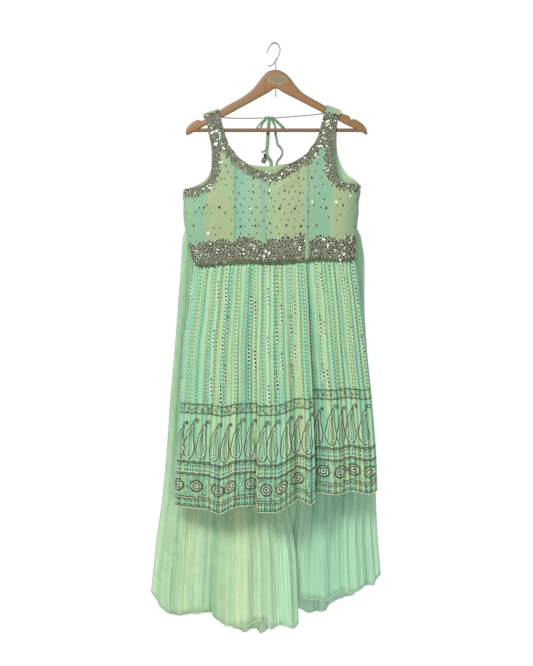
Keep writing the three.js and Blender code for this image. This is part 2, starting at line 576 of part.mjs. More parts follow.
// Dori, the back neck ties
const doriY = 12.2;
const doriCords = [
  { name: "dori_left_span", radius: 2, steps: 12, points: [
    [-135.1, 9, -178.8], [-120, 10.6, -180.4], [-84.5, doriY, -181.6], [-27.3, doriY, -180.8]] },
  { name: "dori_right_span", radius: 2, steps: 13, points: [
    [3.5, doriY, -180.4], [62.5, doriY, -176], [105, 11, -172], [125.9, 9, -168.6]] },
  { name: "dori_left_loop", radius: 2.4, steps: 12, points: [
    [-21.6, doriY, -184.9], [-22.6, 12.6, -187.5], [-27.5, 13, -191], [-35.5, 14, -197],
    [-41.5, 14, -203.5], [-39, 14, -208.6], [-32, 14, -205.4], [-27, 14, -199.5]] },
  { name: "dori_right_loop", radius: 2.6, steps: 8, points: [
    [0.6, doriY, -184.9], [2, 12.6, -187.5], [9.5, 13, -193], [16.5, 14, -199.5], [24.3, 14, -208.6]] },
  { name: "dori_left_tail", radius: 3, steps: 20, points: [
    [-13.5, doriY, -185], [-15.9, 14, -222.1], [-17.4, 15, -247.6], [-18.9, 17, -267.9], [-15.4, 18, -277],
    [-9, 19.5, -286], [-8, 21.5, -300], [-9, 22.5, -330]] },
  { name: "dori_right_tail", radius: 2, steps: 24, points: [
    [-5.6, doriY, -185], [-5, 12.6, -189], [1.2, 13.5, -200], [2.9, 14, -219.6], [5.9, 15, -236.8],
    [8.5, 15, -247], [13.6, 16, -251.5], [19.1, 17, -260.8], [19.1, 17.5, -268.5], [15.2, 18.5, -277],
    [7, 19.5, -287], [5, 20.5, -298], [6, 21.5, -322]] },
];
for (const cord of doriCords) add(cord.name, tube(cord.points, cord.radius, cord.steps), georgette);

// The knot, a rounded bead of cloth on the line of the two spans.
const knotHalf = 15;
const knotProfile = [[0, -knotHalf], [3.4, -12.5], [4.4, -6], [3.9, 0], [4.4, 6], [3.4, 12.5], [0, knotHalf]];
add("dori_knot", new THREE.LatheGeometry(knotProfile.map(([r, y]) => new THREE.Vector2(r, y)), 10)
  .rotateZ(-Math.PI / 2), georgette).position.set(-11.9, doriY, -180.6);

// A bead and a leafy tassel, hanging by the left tail where it bends.
const beadProfile = [[0, -5], [3, -3], [3.6, 0], [3, 3], [0, 5]];
add("latkan_bead", new THREE.LatheGeometry(beadProfile.map(([r, y]) => new THREE.Vector2(r, y)), 8)
  .rotateX(Math.PI / 2), beadwork).position.set(-23.6, 13.9, -272);
const tasselProfile = [[0, -8], [2, -7], [5.6, -4.5], [6.4, 1], [3.5, 5.5], [0, 7]];
add("latkan_tassel", new THREE.LatheGeometry(tasselProfile.map(([r, y]) => new THREE.Vector2(r, y)), 8)
  .rotateX(Math.PI / 2), beadwork).position.set(-23.6, 13.9, -284.3);

// Palazzo
const palazzoEdges = [
  { z: -434, left: -181, right: 178 },
  { z: -447.5, left: -206, right: 199 },
  { z: -459.7, left: -225, right: 212 },
  { z: -481.8, left: -228.9, right: 217.3 },
  { z: -535.7, left: -231.8, right: 224.2 },
  { z: -628.8, left: -239.2, right: 224.2 },
  { z: -756.2, left: -248.7, right: 231 },
  { z: -864, left: -258.5, right: 241.3 },
  { z: -1001.2, left: -268.3, right: 251.1 },
  { z: -1131, left: -280.5, right: 253.6 },
  { z: -1216.8, left: -292.8, right: 257.4 },
  { z: -1290.3, left: -300.9, right: 263.5 },
  { z: -1354, left: -307.5, right: 268 },
];

// The inner edge of each leg: centre seam down to the crotch, then the inner leg seam. The left leg comes
// forward of the right one below the crotch, and their inner parts lie over each other.
const innerEdges = [
  { z: -434, leftX: -1, leftY: 0, rightX: -0.6, rightY: 0, closed: 0 },
  { z: -660, leftX: -1, leftY: 0, rightX: -0.6, rightY: 0, closed: 0 },
  { z: -780, leftX: -1, leftY: 0, rightX: -0.6, rightY: 3, closed: 1 },
  { z: -920, leftX: -3, leftY: -1, rightX: 1.4, rightY: 20, closed: 1 },
  { z: -1120, leftX: 30, leftY: -2, rightX: -34, rightY: 31, closed: 1 },
  { z: -1260, leftX: 54, leftY: -20, rightX: -62, rightY: 29, closed: 1 },
  { z: -1430, leftX: 60, leftY: -28, rightX: -76, rightY: 26, closed: 1 },
];
const palazzoDepth = [
  { z: -405, middle: 43, half: 12 },
  { z: -434, middle: 43, half: 12 },
  { z: -480, middle: 48, half: 15 },
  { z: -740, middle: 52, half: 17 },
  { z: -1000, middle: 56, half: 18 },
  { z: -1250, middle: 56, half: 22 },
  { z: -1430, middle: 56, half: 24 },
];
const palazzoHems = {
  left_front: [
    { across: 0, z: -1354 }, { across: 0.06, z: -1382 },
    { across: 0.12, z: -1400 }, { across: 0.22, z: -1407.9 },
    { across: 0.3, z: -1398.8 }, { across: 0.41, z: -1397 },
    { across: 0.43, z: -1409 }, { across: 0.51, z: -1428.2 },
    { across: 0.66, z: -1426.3 }, { across: 0.72, z: -1416.2 }, { across: 0.78, z: -1416.5 },
    { across: 0.81, z: -1434.4 }, { across: 0.88, z: -1427.5 },
    { across: 0.97, z: -1436.3 }, { across: 1, z: -1426.5 },
  ],
  left_back: [
    { across: 0, z: -1354.3 }, { across: 0.07, z: -1378.5 },
    { across: 0.22, z: -1409.1 }, { across: 0.28, z: -1414 },
    { across: 0.4, z: -1407.9 }, { across: 0.51, z: -1433.4 }, { across: 0.63, z: -1454.4 },
    { across: 0.71, z: -1446.6 }, { across: 0.74, z: -1457.9 }, { across: 0.81, z: -1440.5 },
    { across: 0.91, z: -1429 }, { across: 1, z: -1426.8 },
  ],
  right_front: [
    { across: 0, z: -1395 }, { across: 0.41, z: -1366.2 },
    { across: 0.46, z: -1371.1 }, { across: 0.52, z: -1368.7 },
    { across: 0.57, z: -1374.1 }, { across: 0.62, z: -1366.2 }, { across: 0.72, z: -1346.6 },
    { across: 0.76, z: -1351.1 }, { across: 0.855, z: -1342.5 }, { across: 0.87, z: -1335.9 },
    { across: 0.935, z: -1335.9 }, { across: 0.97, z: -1320.4 }, { across: 1, z: -1309.9 },
  ],
  right_back: [
    { across: 0, z: -1395.3 }, { across: 0.4, z: -1405.4 },
    { across: 0.48, z: -1416.7 }, { across: 0.54, z: -1411.3 },
    { across: 0.59, z: -1410.3 }, { across: 0.62, z: -1392.7 }, { across: 0.72, z: -1375.1 },
    { across: 0.8, z: -1366.2 }, { across: 0.82, z: -1351.1 },
    { across: 0.9, z: -1339.3 }, { across: 1, z: -1310.2 },
  ],
};

// Deep folds of each panel, from edge to edge as in the skirt.
const palazzoFolds = {
  left_front: [
    { from: 0.08, to: 0.2, rise: 7, softFrom: 0.05, softTo: 0.05, begins: 0.4 },
    { from: 0.3, to: 0.415, rise: 6, softFrom: 0.04, softTo: 0.02, begins: 0.5 },
    { from: 0.5, to: 0.7, rise: 9, softFrom: 0.06, softTo: 0.04, begins: 0.6 },
    { from: 0.79, to: 0.95, rise: 7, softFrom: 0.03, softTo: 0.03, begins: 0.6 },
  ],
  right_front: [
    { from: 0.48, to: 0.6, rise: 6, softFrom: 0.04, softTo: 0.04, begins: 0.5 },
    { from: 0.73, to: 0.86, rise: 7, softFrom: 0.05, softTo: 0.03, begins: 0.4 },
  ],
  left_back: [
    { from: 0.15, to: 0.3, rise: 6, softFrom: 0.06, softTo: 0.06, begins: 0.4 },
    { from: 0.5, to: 0.68, rise: 8, softFrom: 0.06, softTo: 0.06, begins: 0.4 },
  ],
  right_back: [
    { from: 0.3, to: 0.48, rise: 7, softFrom: 0.06, softTo: 0.06, begins: 0.4 },
    { from: 0.68, to: 0.84, rise: 6, softFrom: 0.06, softTo: 0.06, begins: 0.4 },
  ],
};

// A leg panel's surface: leg is "left" or "right", side -1 for its front and 1 for its back.
function legPlace(leg, side, across, down, hemZ) {
  const z = mix(waistbandTop - waistbandHeight - seamGap, hemZ, down);
  const inner = {
    x: read(innerEdges, "z", `${leg}X`, z),
    y: read(innerEdges, "z", `${leg}Y`, z),
    closed: read(innerEdges, "z", "closed", z),
  };
  const share = leg === "left" ? across : 1 - across;
  const x = mix(read(palazzoEdges, "z", leg, z), inner.x, share);
  const middle = read(palazzoDepth, "z", "middle", z) + inner.y * ease(share / 0.85);
  const closing = 1 - inner.closed * (1 - turn((1 - share) / 0.35));
  const half = read(palazzoDepth, "z", "half", z) * turn(share / 0.4) * closing;
  return [x, middle + side * (half + seamGap / 2), z];
}

function legPanel(leg, side) {
  const name = `${leg}_${side < 0 ? "front" : "back"}`;
  const hem = palazzoHems[name];
  return panel(`palazzo_${name}`, georgetteSheer, {
    columns: spread(2 * legPleats), rows: [0, 0.025, 0.06, 0.32, 0.5, 0.75, 1], facing: side,
    place: (u, v) => legPlace(leg, side, u, v, read(hem, "across", "z", u)),
    lift: (u, v) => {
      const edge = ease(u / 0.08) * ease((1 - u) / 0.08);
      const pleat = Math.cos(2 * Math.PI * legPleats * u) * mix(0.3, 1, ease(v * 1.4));
      return edge * (0.5 * legPleatDepth * (0.7 + 0.3 * Math.sin(11 * u + side)) * pleat
        + foldLift(palazzoFolds[name], u, v));
    },
  });
}

// The lining of each leg, shorter than it and just inside it, from the leg's own points moved in.
const liningHems = {
  left: [
    { across: 0, z: -1320 }, { across: 0.15, z: -1346 }, { across: 0.4, z: -1363 },
    { across: 0.62, z: -1343 }, { across: 0.8, z: -1361 }, { across: 1, z: -1355 },
  ],
  right: [{ across: 0, z: -1335 }, { across: 0.5, z: -1320 }, { across: 1, z: -1275 }],
};
const liningColumns = [0, 2, 6, 10, 14, 18, 22, 26, 28];
function lining(name, leg, under) {
  const moved = (inset) => liningColumns.map((i) => {
    const hemZ = read(liningHems[leg], "across", "z", i / (2 * legPleats));
    const drop = under.smooth[i].map((p, j) => p.clone().addScaledVector(under.normals[i][j], -inset));
    const [above, below] = drop.slice(-2);
    return [...drop.slice(1, -1), above.clone().lerp(below, (hemZ - above.z) / (below.z - above.z))];
  });
  add(name, wallGeometry(moved(liningInset), moved(liningInset + 1), under.flip), liningCloth);
}
for (const leg of ["left", "right"]) {
  for (const side of [-1, 1]) {
    lining(`lining_${leg}_${side < 0 ? "front" : "back"}`, leg, legPanel(leg, side));
  }
}

// The elastic waistband, one closed loop with small gathers.
const waistbandColumns = 56;
function bandRing(out, z) {
  return Array.from({ length: waistbandColumns }, (_, i) => {
    const angle = (i / waistbandColumns) * 2 * Math.PI;
    const gather = i % 2 === 0 ? 0.7 : -0.7;
    const [halfX, halfY] = [178 + out, 11.5 + out];
    const round = Math.abs(Math.sin(angle)) ** 0.6 * Math.sign(Math.sin(angle));
    return [-1.5 + halfX * Math.cos(angle), 43 + halfY * round + gather * Math.sin(angle), z];
  });
}
function bandGeometry() {
  const [low, high] = [waistbandTop - waistbandHeight, waistbandTop];
  const rings = [bandRing(0, low), bandRing(0.8, (low + high) / 2), bandRing(0, high), bandRing(-2.4, high),
    bandRing(-2.4, low)];
  const index = [];
  for (let k = 0; k < rings.length; k += 1) {
    const next = (k + 1) % rings.length;
    for (let i = 0; i < waistbandColumns; i += 1) {
      const j = (i + 1) % waistbandColumns;
      const [a, b] = [k * waistbandColumns + i, k * waistbandColumns + j];
      const [c, d] = [next * waistbandColumns + j, next * waistbandColumns + i];
      index.push(a, b, c, a, c, d);
    }
  }
  const geometry = new THREE.BufferGeometry();
  geometry.setAttribute("position", new THREE.Float32BufferAttribute(rings.flat(2), 3));
  geometry.setIndex(index);
  return geometry;
}
add("palazzo_waistband", bandGeometry(), georgetteSheer);

// A ribbon through a path of points, its width across X.
function ribbon(name, points, width, thickness) {
  const path = points.map((p) => new THREE.Vector3(...p));
  const rings = path.map((p, i) => {
    const along = path[Math.min(i + 1, path.length - 1)].clone().sub(path[Math.max(i - 1, 0)]);
    const out = new THREE.Vector3(0, along.z, -along.y).normalize().multiplyScalar(thickness / 2);
    return [
      [p.x - width / 2, p.y + out.y, p.z + out.z], [p.x + width / 2, p.y + out.y, p.z + out.z],
      [p.x + width / 2, p.y - out.y, p.z - out.z], [p.x - width / 2, p.y - out.y, p.z - out.z],
    ];
  });
  add(name, ringsGeometry(rings), georgetteSheer);
}

// Hanger loops: each runs up from the waistband, over the back neck edge, round the bar and down again.
const loopWidth = 5;
for (const { name, barX, bandX, neckZ } of [
  { name: "hanger_loop_left", barX: -128, bandX: -160, neckZ: -246 },
  { name: "hanger_loop_right", barX: 116, bandX: 150, neckZ: -240 },
]) {
  const reach = barRadius + 1.4;
  const roundBar = [290, 250, 215, 180, 145, 110, 75, 40, 10].map((degrees) => {
    const radians = THREE.MathUtils.degToRad(degrees);
    return [barX, reach * Math.cos(radians), barZ + reach * Math.sin(radians)];
  });
  ribbon(name, [
    [bandX, 36.3, waistbandTop + 0.4], [mix(bandX, barX, 0.4), 27, -340], [mix(bandX, barX, 0.8), 21.5, -290],
    [barX, 17.5, neckZ - 14], [barX, 13, neckZ + 6], [barX, 8, barZ - 17],
    ...roundBar,
    [barX, 9, barZ - 9], [barX, 16, neckZ + 8], [barX, 20.5, neckZ - 10],
    [mix(bandX, barX, 0.8), 24.5, -288], [mix(bandX, barX, 0.4), 30, -338], [bandX, 38, waistbandTop + 0.4],
  ], loopWidth, 1);
}

export default group;
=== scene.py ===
import json
import math

import bpy
import numpy as np
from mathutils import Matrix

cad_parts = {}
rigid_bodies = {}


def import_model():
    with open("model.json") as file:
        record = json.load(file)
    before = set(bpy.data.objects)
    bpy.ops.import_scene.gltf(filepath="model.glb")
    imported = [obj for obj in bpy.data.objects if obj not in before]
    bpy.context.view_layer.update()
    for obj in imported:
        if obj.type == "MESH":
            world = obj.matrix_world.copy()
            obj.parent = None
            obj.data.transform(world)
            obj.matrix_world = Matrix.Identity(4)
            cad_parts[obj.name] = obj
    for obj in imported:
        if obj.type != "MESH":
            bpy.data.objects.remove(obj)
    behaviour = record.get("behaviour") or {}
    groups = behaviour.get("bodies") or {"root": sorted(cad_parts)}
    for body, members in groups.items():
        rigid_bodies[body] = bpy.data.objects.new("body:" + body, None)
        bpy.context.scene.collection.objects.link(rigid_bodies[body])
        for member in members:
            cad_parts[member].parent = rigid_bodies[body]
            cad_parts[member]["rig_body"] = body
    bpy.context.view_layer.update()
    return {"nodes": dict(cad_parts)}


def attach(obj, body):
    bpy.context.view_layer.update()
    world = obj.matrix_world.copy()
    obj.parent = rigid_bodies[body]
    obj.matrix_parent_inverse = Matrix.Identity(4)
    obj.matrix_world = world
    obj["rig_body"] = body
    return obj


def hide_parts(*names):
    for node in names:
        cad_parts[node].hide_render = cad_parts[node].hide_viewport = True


# A palazzo suit on its hanger: kurta in front, palazzo trousers behind. Tables are in millimetres.
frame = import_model()
mm = 0.001
waistLeft, waistRight = -196.5, 198.5
seamLeft, seamRight = -95.5, 83.7
kurtaHemLeft, kurtaHemRight = -1130.3, -1094.3
skirtSplit = 0.69
skirtFrontLength, skirtBackLength = 0.592, 0.577
barHeight = -212.8
random = np.random.default_rng(41)

# Camera, level with the middle of the suit
cameraData = bpy.data.cameras.new("photoCamera")
cameraData.lens = 70.6
cameraData.sensor_width = 36
camera = bpy.data.objects.new("photoCamera", cameraData)
camera.location = (-0.0196, -3.2, -0.7096)
camera.rotation_euler = (math.pi / 2, 0, 0)
bpy.context.scene.collection.objects.link(camera)
bpy.context.scene.camera = camera
print("camera ready")


# Numbers

# from a to b as t goes from 0 to 1
def mix(a, b, t):
    return a + (b - a) * t


# kept from 0 to 1
def clamp(t):
    return np.clip(t, 0.0, 1.0)


# smooth step from 0 to 1
def ease(t):
    t = clamp(t)
    return t * t * (3 - 2 * t)


# a quarter ellipse's rise from 0 to 1
def turn(t):
    return np.sqrt(np.maximum(0.0, 1 - (1 - clamp(t)) ** 2))


# named columns from rows of numbers, sorted by the first column
def table(names, rows):
    rows = sorted(rows)
    columns = np.array(rows, float).T
    named = dict(zip(names.split(), columns))
    named["at"] = columns[0]
    return named


# one column at any place between the rows: a cubic that doesn't overshoot them
def read(tab, column, at):
    keys, values = tab["at"], tab[column]
    step = np.diff(keys)
    rise = np.diff(values) / step
    tangent = np.empty(len(keys))
    tangent[0], tangent[-1] = rise[0], rise[-1]
    both = rise[:-1] * rise[1:]
    total = rise[:-1] + rise[1:]
    tangent[1:-1] = np.where(both <= 0, 0, 2 * both / np.where(total == 0, 1, total))
    at = np.clip(np.asarray(at, float), keys[0], keys[-1])
    i = np.clip(np.searchsorted(keys, at, side="right") - 1, 0, len(keys) - 2)
    t = (at - keys[i]) / step[i]
    return ((1 + 2 * t) * (1 - t) ** 2 * values[i] + t * (1 - t) ** 2 * step[i] * tangent[i]
            + t * t * (3 - 2 * t) * values[i + 1] - t * t * (1 - t) * step[i] * tangent[i + 1])


# evenly spaced angles once round
def circle(count):
    return np.arange(count) / count * 2 * math.pi


# how far each point of a path lies along it
def lengthAlong(path):
    return np.concatenate([[0], np.cumsum(np.linalg.norm(np.diff(path, axis=0), axis=1))])


# vectors brought to length 1
def unit(vectors):
    return vectors / np.maximum(1e-12, np.linalg.norm(vectors, axis=-1, keepdims=True))


# Meshes

# a mesh from points in millimetres and faces of equal size, with a UV map in metres and named values
def makeMesh(name, points, faces, look, uv=None, values=None, smooth=True):
    mesh = bpy.data.meshes.new(name)
    points = np.asarray(points, float).reshape(-1, 3) * mm
    groups = faces if isinstance(faces, list) else [faces]
    corners = np.concatenate([g.ravel() for g in groups]).astype(np.int32)
    sizes = np.concatenate([np.full(len(g), g.shape[1]) for g in groups])
    starts = np.concatenate([[0], np.cumsum(sizes)[:-1]]).astype(np.int32)
    mesh.vertices.add(len(points))
    mesh.vertices.foreach_set("co", points.astype(np.float32).ravel())
    mesh.loops.add(len(corners))
    mesh.loops.foreach_set("vertex_index", corners)
    mesh.polygons.add(len(sizes))
    mesh.polygons.foreach_set("loop_start", starts)
    mesh.polygons.foreach_set("use_smooth", np.full(len(sizes), smooth))
    if uv is not None:
        layer = mesh.uv_layers.new(name="cloth")
        layer.data.foreach_set("uv", (np.asarray(uv, float).reshape(-1, 2)[corners] * mm).astype(np.float32).ravel())
    for key, value in (values or {}).items():
        attribute = mesh.attributes.new(key, "FLOAT", "POINT")
        attribute.data.foreach_set("value", np.asarray(value, np.float32).ravel())
    mesh.update(calc_edges=True)
    mesh.validate()
    piece = bpy.data.objects.new(name, mesh)
    bpy.context.scene.collection.objects.link(piece)
    mesh.materials.append(look)
    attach(piece, "root")
    return piece


# the nodes that a piece stands for, which are hidden; the slot is not used
def dress(piece, slot, *nodes):
    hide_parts(*nodes)


# normals of a grid of points, from the cross product of its two directions; facing is -1 to the front
def gridNormals(points, facing):
    across = np.gradient(points, axis=0)
    down = np.gradient(points, axis=1)
    normals = unit(np.cross(across, down))
    middle = normals[points.shape[0] // 2, points.shape[1] // 2, 1]
    return normals * (1 if middle * facing > 0 else -1)


# a grid's area in square metres, the sum of its cells' cross products
def gridArea(points):
    cells = np.cross(np.diff(points, axis=0)[:, :-1], np.diff(points, axis=1)[:-1])
    return float(np.linalg.norm(cells, axis=-1).sum()) * 1e-6


# the four-sided faces of a grid of columns and rows
def gridFaces(columns, rows, first=0):
    i, j = np.meshgrid(np.arange(columns - 1), np.arange(rows - 1), indexing="ij")
    a = first + (i * rows + j).ravel()
    return np.stack([a, a + rows, a + rows + 1, a + 1], axis=1)


# a thin closed shell: the grid as its outer face, the same grid moved in as its lining side, and four rims
def clothShell(name, points, normals, thickness, look, uv=None):
    columns, rows = points.shape[:2]
    inner = points - normals * thickness
    size = columns * rows
    outerFaces = gridFaces(columns, rows)
    innerFaces = outerFaces[:, ::-1] + size
    edge = np.concatenate([
        np.arange(columns) * rows, (columns - 1) * rows + np.arange(1, rows),
        (np.arange(columns - 1) * rows + rows - 1)[::-1], np.arange(1, rows - 1)[::-1]])
    after = np.roll(edge, -1)
    rims = np.stack([edge, edge + size, after + size, after], axis=1)
    faces = np.concatenate([outerFaces, innerFaces, rims])
    i, j = columns // 2, rows // 2
    quad = points[i, j], points[i + 1 if i + 1 < columns else i - 1, j], points[i, j - 1]
    wound = np.cross(quad[1] - quad[0], quad[2] - quad[0]) @ normals[i, j]
    if wound > 0:
        faces = faces[:, ::-1]
    both = np.concatenate([points.reshape(-1, 3), inner.reshape(-1, 3)])
    uvs = None if uv is None else np.concatenate([uv.reshape(-1, 2)] * 2)
    return makeMesh(name, both, faces, look, uvs)


# a closed tube of rings round a path: at each point a side and a lift direction carry the section's outline
def sweep(path, sides, lifts, outline):
    rings = (path[:, None] + sides[:, None] * outline[None, :, :1] + lifts[:, None] * outline[None, :, 1:])
    count, corners = len(path), len(outline)
    i, j = np.meshgrid(np.arange(count - 1), np.arange(corners), indexing="ij")
    a = (i * corners + j).ravel()
    b = (i * corners + (j + 1) % corners).ravel()
    ring = np.arange(corners)
    faces = [np.stack([a, b, b + corners, a + corners], axis=1), np.stack([ring[::-1], (count - 1) * corners + ring])]
    return rings.reshape(-1, 3), faces


# a circle of points as a section
def roundOutline(radius, corners=10):
    angle = circle(corners)
    return np.stack([radius * np.cos(angle), radius * np.sin(angle)], axis=1)


# points of a smooth centripetal curve through a few points, evenly spaced
def smoothPath(points, count):
    points = np.asarray(points, float)
    points = np.vstack([2 * points[0] - points[1], points, 2 * points[-1] - points[-2]])
    found = []
    for k in range(1, len(points) - 2):
        p0, p1, p2, p3 = points[k - 1:k + 3]
        t0 = 0.0
        t1 = t0 + np.linalg.norm(p1 - p0) ** 0.5
        t2 = t1 + np.linalg.norm(p2 - p1) ** 0.5
        t3 = t2 + np.linalg.norm(p3 - p2) ** 0.5
        t = np.linspace(t1, t2, 24, endpoint=k == len(points) - 3)[:, None]
        a1 = (t1 - t) / (t1 - t0) * p0 + (t - t0) / (t1 - t0) * p1
        a2 = (t2 - t) / (t2 - t1) * p1 + (t - t1) / (t2 - t1) * p2
        a3 = (t3 - t) / (t3 - t2) * p2 + (t - t2) / (t3 - t2) * p3
        b1 = (t2 - t) / (t2 - t0) * a1 + (t - t0) / (t2 - t0) * a2
        b2 = (t3 - t) / (t3 - t1) * a2 + (t - t1) / (t3 - t1) * a3
        found.append((t2 - t) / (t2 - t1) * b1 + (t - t1) / (t2 - t1) * b2)
    dense = np.vstack(found)
    length = lengthAlong(dense)
    even = np.linspace(0, length[-1], count)
    return np.stack([np.interp(even, length, dense[:, k]) for k in range(3)], axis=1)


# side and lift directions square to a path, the lift kept near a given direction
def pathFrame(path, near):
    along = unit(np.gradient(path, axis=0))
    near = np.broadcast_to(near, path.shape)
    sides = unit(np.cross(along, near))
    return sides, np.cross(sides, along)


# a cord along a path, its section a circle that may be flattened; returns the piece and its path in metres
def makeCord(name, points, radius, count, look, corners=10, near=(0, 1, 0.001), flat=1.0):
    path = smoothPath(points, count)
    sides, lifts = pathFrame(path, np.array(near, float))
    verts, faces = sweep(path, sides, lifts, roundOutline(radius, corners) * [flat, 1 / flat])
    length = lengthAlong(path)
    uv = np.stack(np.meshgrid(length, np.arange(corners) * radius * 2 * math.pi / corners, indexing="ij"), axis=-1)
    piece = makeMesh(name, verts, faces, look, uv)
    return piece, path * mm


# many thin threads laid on cloth, joined in one mesh: each is a path with its normals, widths in millimetres
def makeThreads(name, paths, width, height, look):
    outline = np.array([[-0.5 * width, -0.3 * height], [-0.28 * width, height], [0.28 * width, height],
                        [0.5 * width, -0.3 * height]])
    allVerts, quads, caps, first = [], [], [], 0
    for path, normals in paths:
        along = unit(np.gradient(path, axis=0))
        sides = unit(np.cross(along, normals))
        verts, (ringFaces, ends) = sweep(path, sides, normals, outline[::-1])
        allVerts.append(verts)
        quads.append(ringFaces + first)
        caps.append(ends + first)
        first += len(verts)
    return makeMesh(name, np.concatenate(allVerts), np.concatenate(quads + caps), look)


# small solids for beads: points and triangles of about one millimetre size, +Z out of the cloth
def discShape(corners, dome):
    angle = circle(corners)
    ring = np.stack([np.cos(angle) / 2, np.sin(angle) / 2, np.zeros(corners)], axis=1)
    points = np.vstack([ring, ring * [0.55, 0.55, 1] + [0, 0, dome], [[0, 0, dome * 0.8]], ring * 0.9 - [0, 0, 0.12]])
    k = np.arange(corners)
    n = (k + 1) % corners
    faces = np.concatenate([
        np.stack([k, n, n + corners], 1), np.stack([k, n + corners, k + corners], 1),
        np.stack([k + corners, n + corners, np.full(corners, 2 * corners)], 1),
        np.stack([k + 2 * corners + 1, n, k], 1), np.stack([k + 2 * corners + 1, n + 2 * corners + 1, n], 1),
        np.stack([np.full(corners - 2, 2 * corners + 1), k[2:] + 2 * corners + 1, k[1:-1] + 2 * corners + 1], 1)])
    return points, faces


# a stitch: a low block, narrower on top
def stitchShape():
    corner = np.array([[-0.5, -0.5], [0.5, -0.5], [0.5, 0.5], [-0.5, 0.5]])
    points = np.vstack([np.column_stack([corner, np.full(4, -0.2)]), np.column_stack([corner * 0.72, np.full(4, 0.5)])])
    k = np.arange(4)
    n = (k + 1) % 4
    return points, np.concatenate([np.stack([k, n, n + 4], 1), np.stack([k, n + 4, k + 4], 1),
                                   np.array([[4, 5, 6], [4, 6, 7], [2, 1, 0], [3, 2, 0]])])


# a bead: three rings of corners between a foot and a top
def beadShape(corners):
    angle = circle(corners)
    ring = np.stack([np.cos(angle), np.sin(angle), np.zeros(corners)], axis=1)
    points = np.vstack([ring * 0.42 + [0, 0, -0.25], ring * 0.5, ring * 0.36 + [0, 0, 0.34], [[0, 0, 0.5]],
                        [[0, 0, -0.3]]])
    k = np.arange(corners)
    n = (k + 1) % corners
    top, foot = 3 * corners, 3 * corners + 1
    faces = []
    for low in (0, corners):
        faces += [np.stack([k + low, n + low, n + low + corners], 1),
                  np.stack([k + low, n + low + corners, k + low + corners], 1)]
    faces += [np.stack([k + 2 * corners, n + 2 * corners, np.full(corners, top)], 1),
              np.stack([n, k, np.full(corners, foot)], 1)]
    return points, np.concatenate(faces)


# copies of a small solid, joined: each has a place, a normal, a spin about it, and a size in three directions
def scatter(name, shape, places, normals, spins, sizes, look, tones=None):
    points, faces = shape
    count = len(places)
    upright = np.tile([0.0, 0.0, 1.0], (count, 1))
    upright[np.abs(normals[:, 2]) > 0.9] = [0, 1, 0]
    across = unit(np.cross(upright, normals))
    up = np.cross(normals, across)
    c, s = np.cos(spins)[:, None], np.sin(spins)[:, None]
    first, second = across * c + up * s, up * c - across * s
    local = points[None] * sizes[:, None]
    verts = (places[:, None] + local[..., :1] * first[:, None] + local[..., 1:2] * second[:, None]
             + local[..., 2:] * normals[:, None])
    allFaces = faces[None] + (np.arange(count) * len(points))[:, None, None]
    values = {"tone": np.repeat(random.random(count) if tones is None else tones, len(points))}
    return makeMesh(name, verts.reshape(-1, 3), allFaces.reshape(-1, 3), look, None, values, smooth=False)


# Materials

# a socket that takes part in sums: each operator adds one Math node
class Value:
    def __init__(self, tree, socket):
        self.tree, self.socket = tree, socket

    def math(self, operation, *others):
        return self.tree.node("ShaderNodeMath", {"operation": operation}, self, *others)

    def __add__(self, other): return self.math("ADD", other)
    __radd__ = __add__
    def __mul__(self, other): return self.math("MULTIPLY", other)
    __rmul__ = __mul__
    def __sub__(self, other): return self.math("SUBTRACT", other)
    def __rsub__(self, other): return self.tree.node("ShaderNodeMath", {"operation": "SUBTRACT"}, other, self)


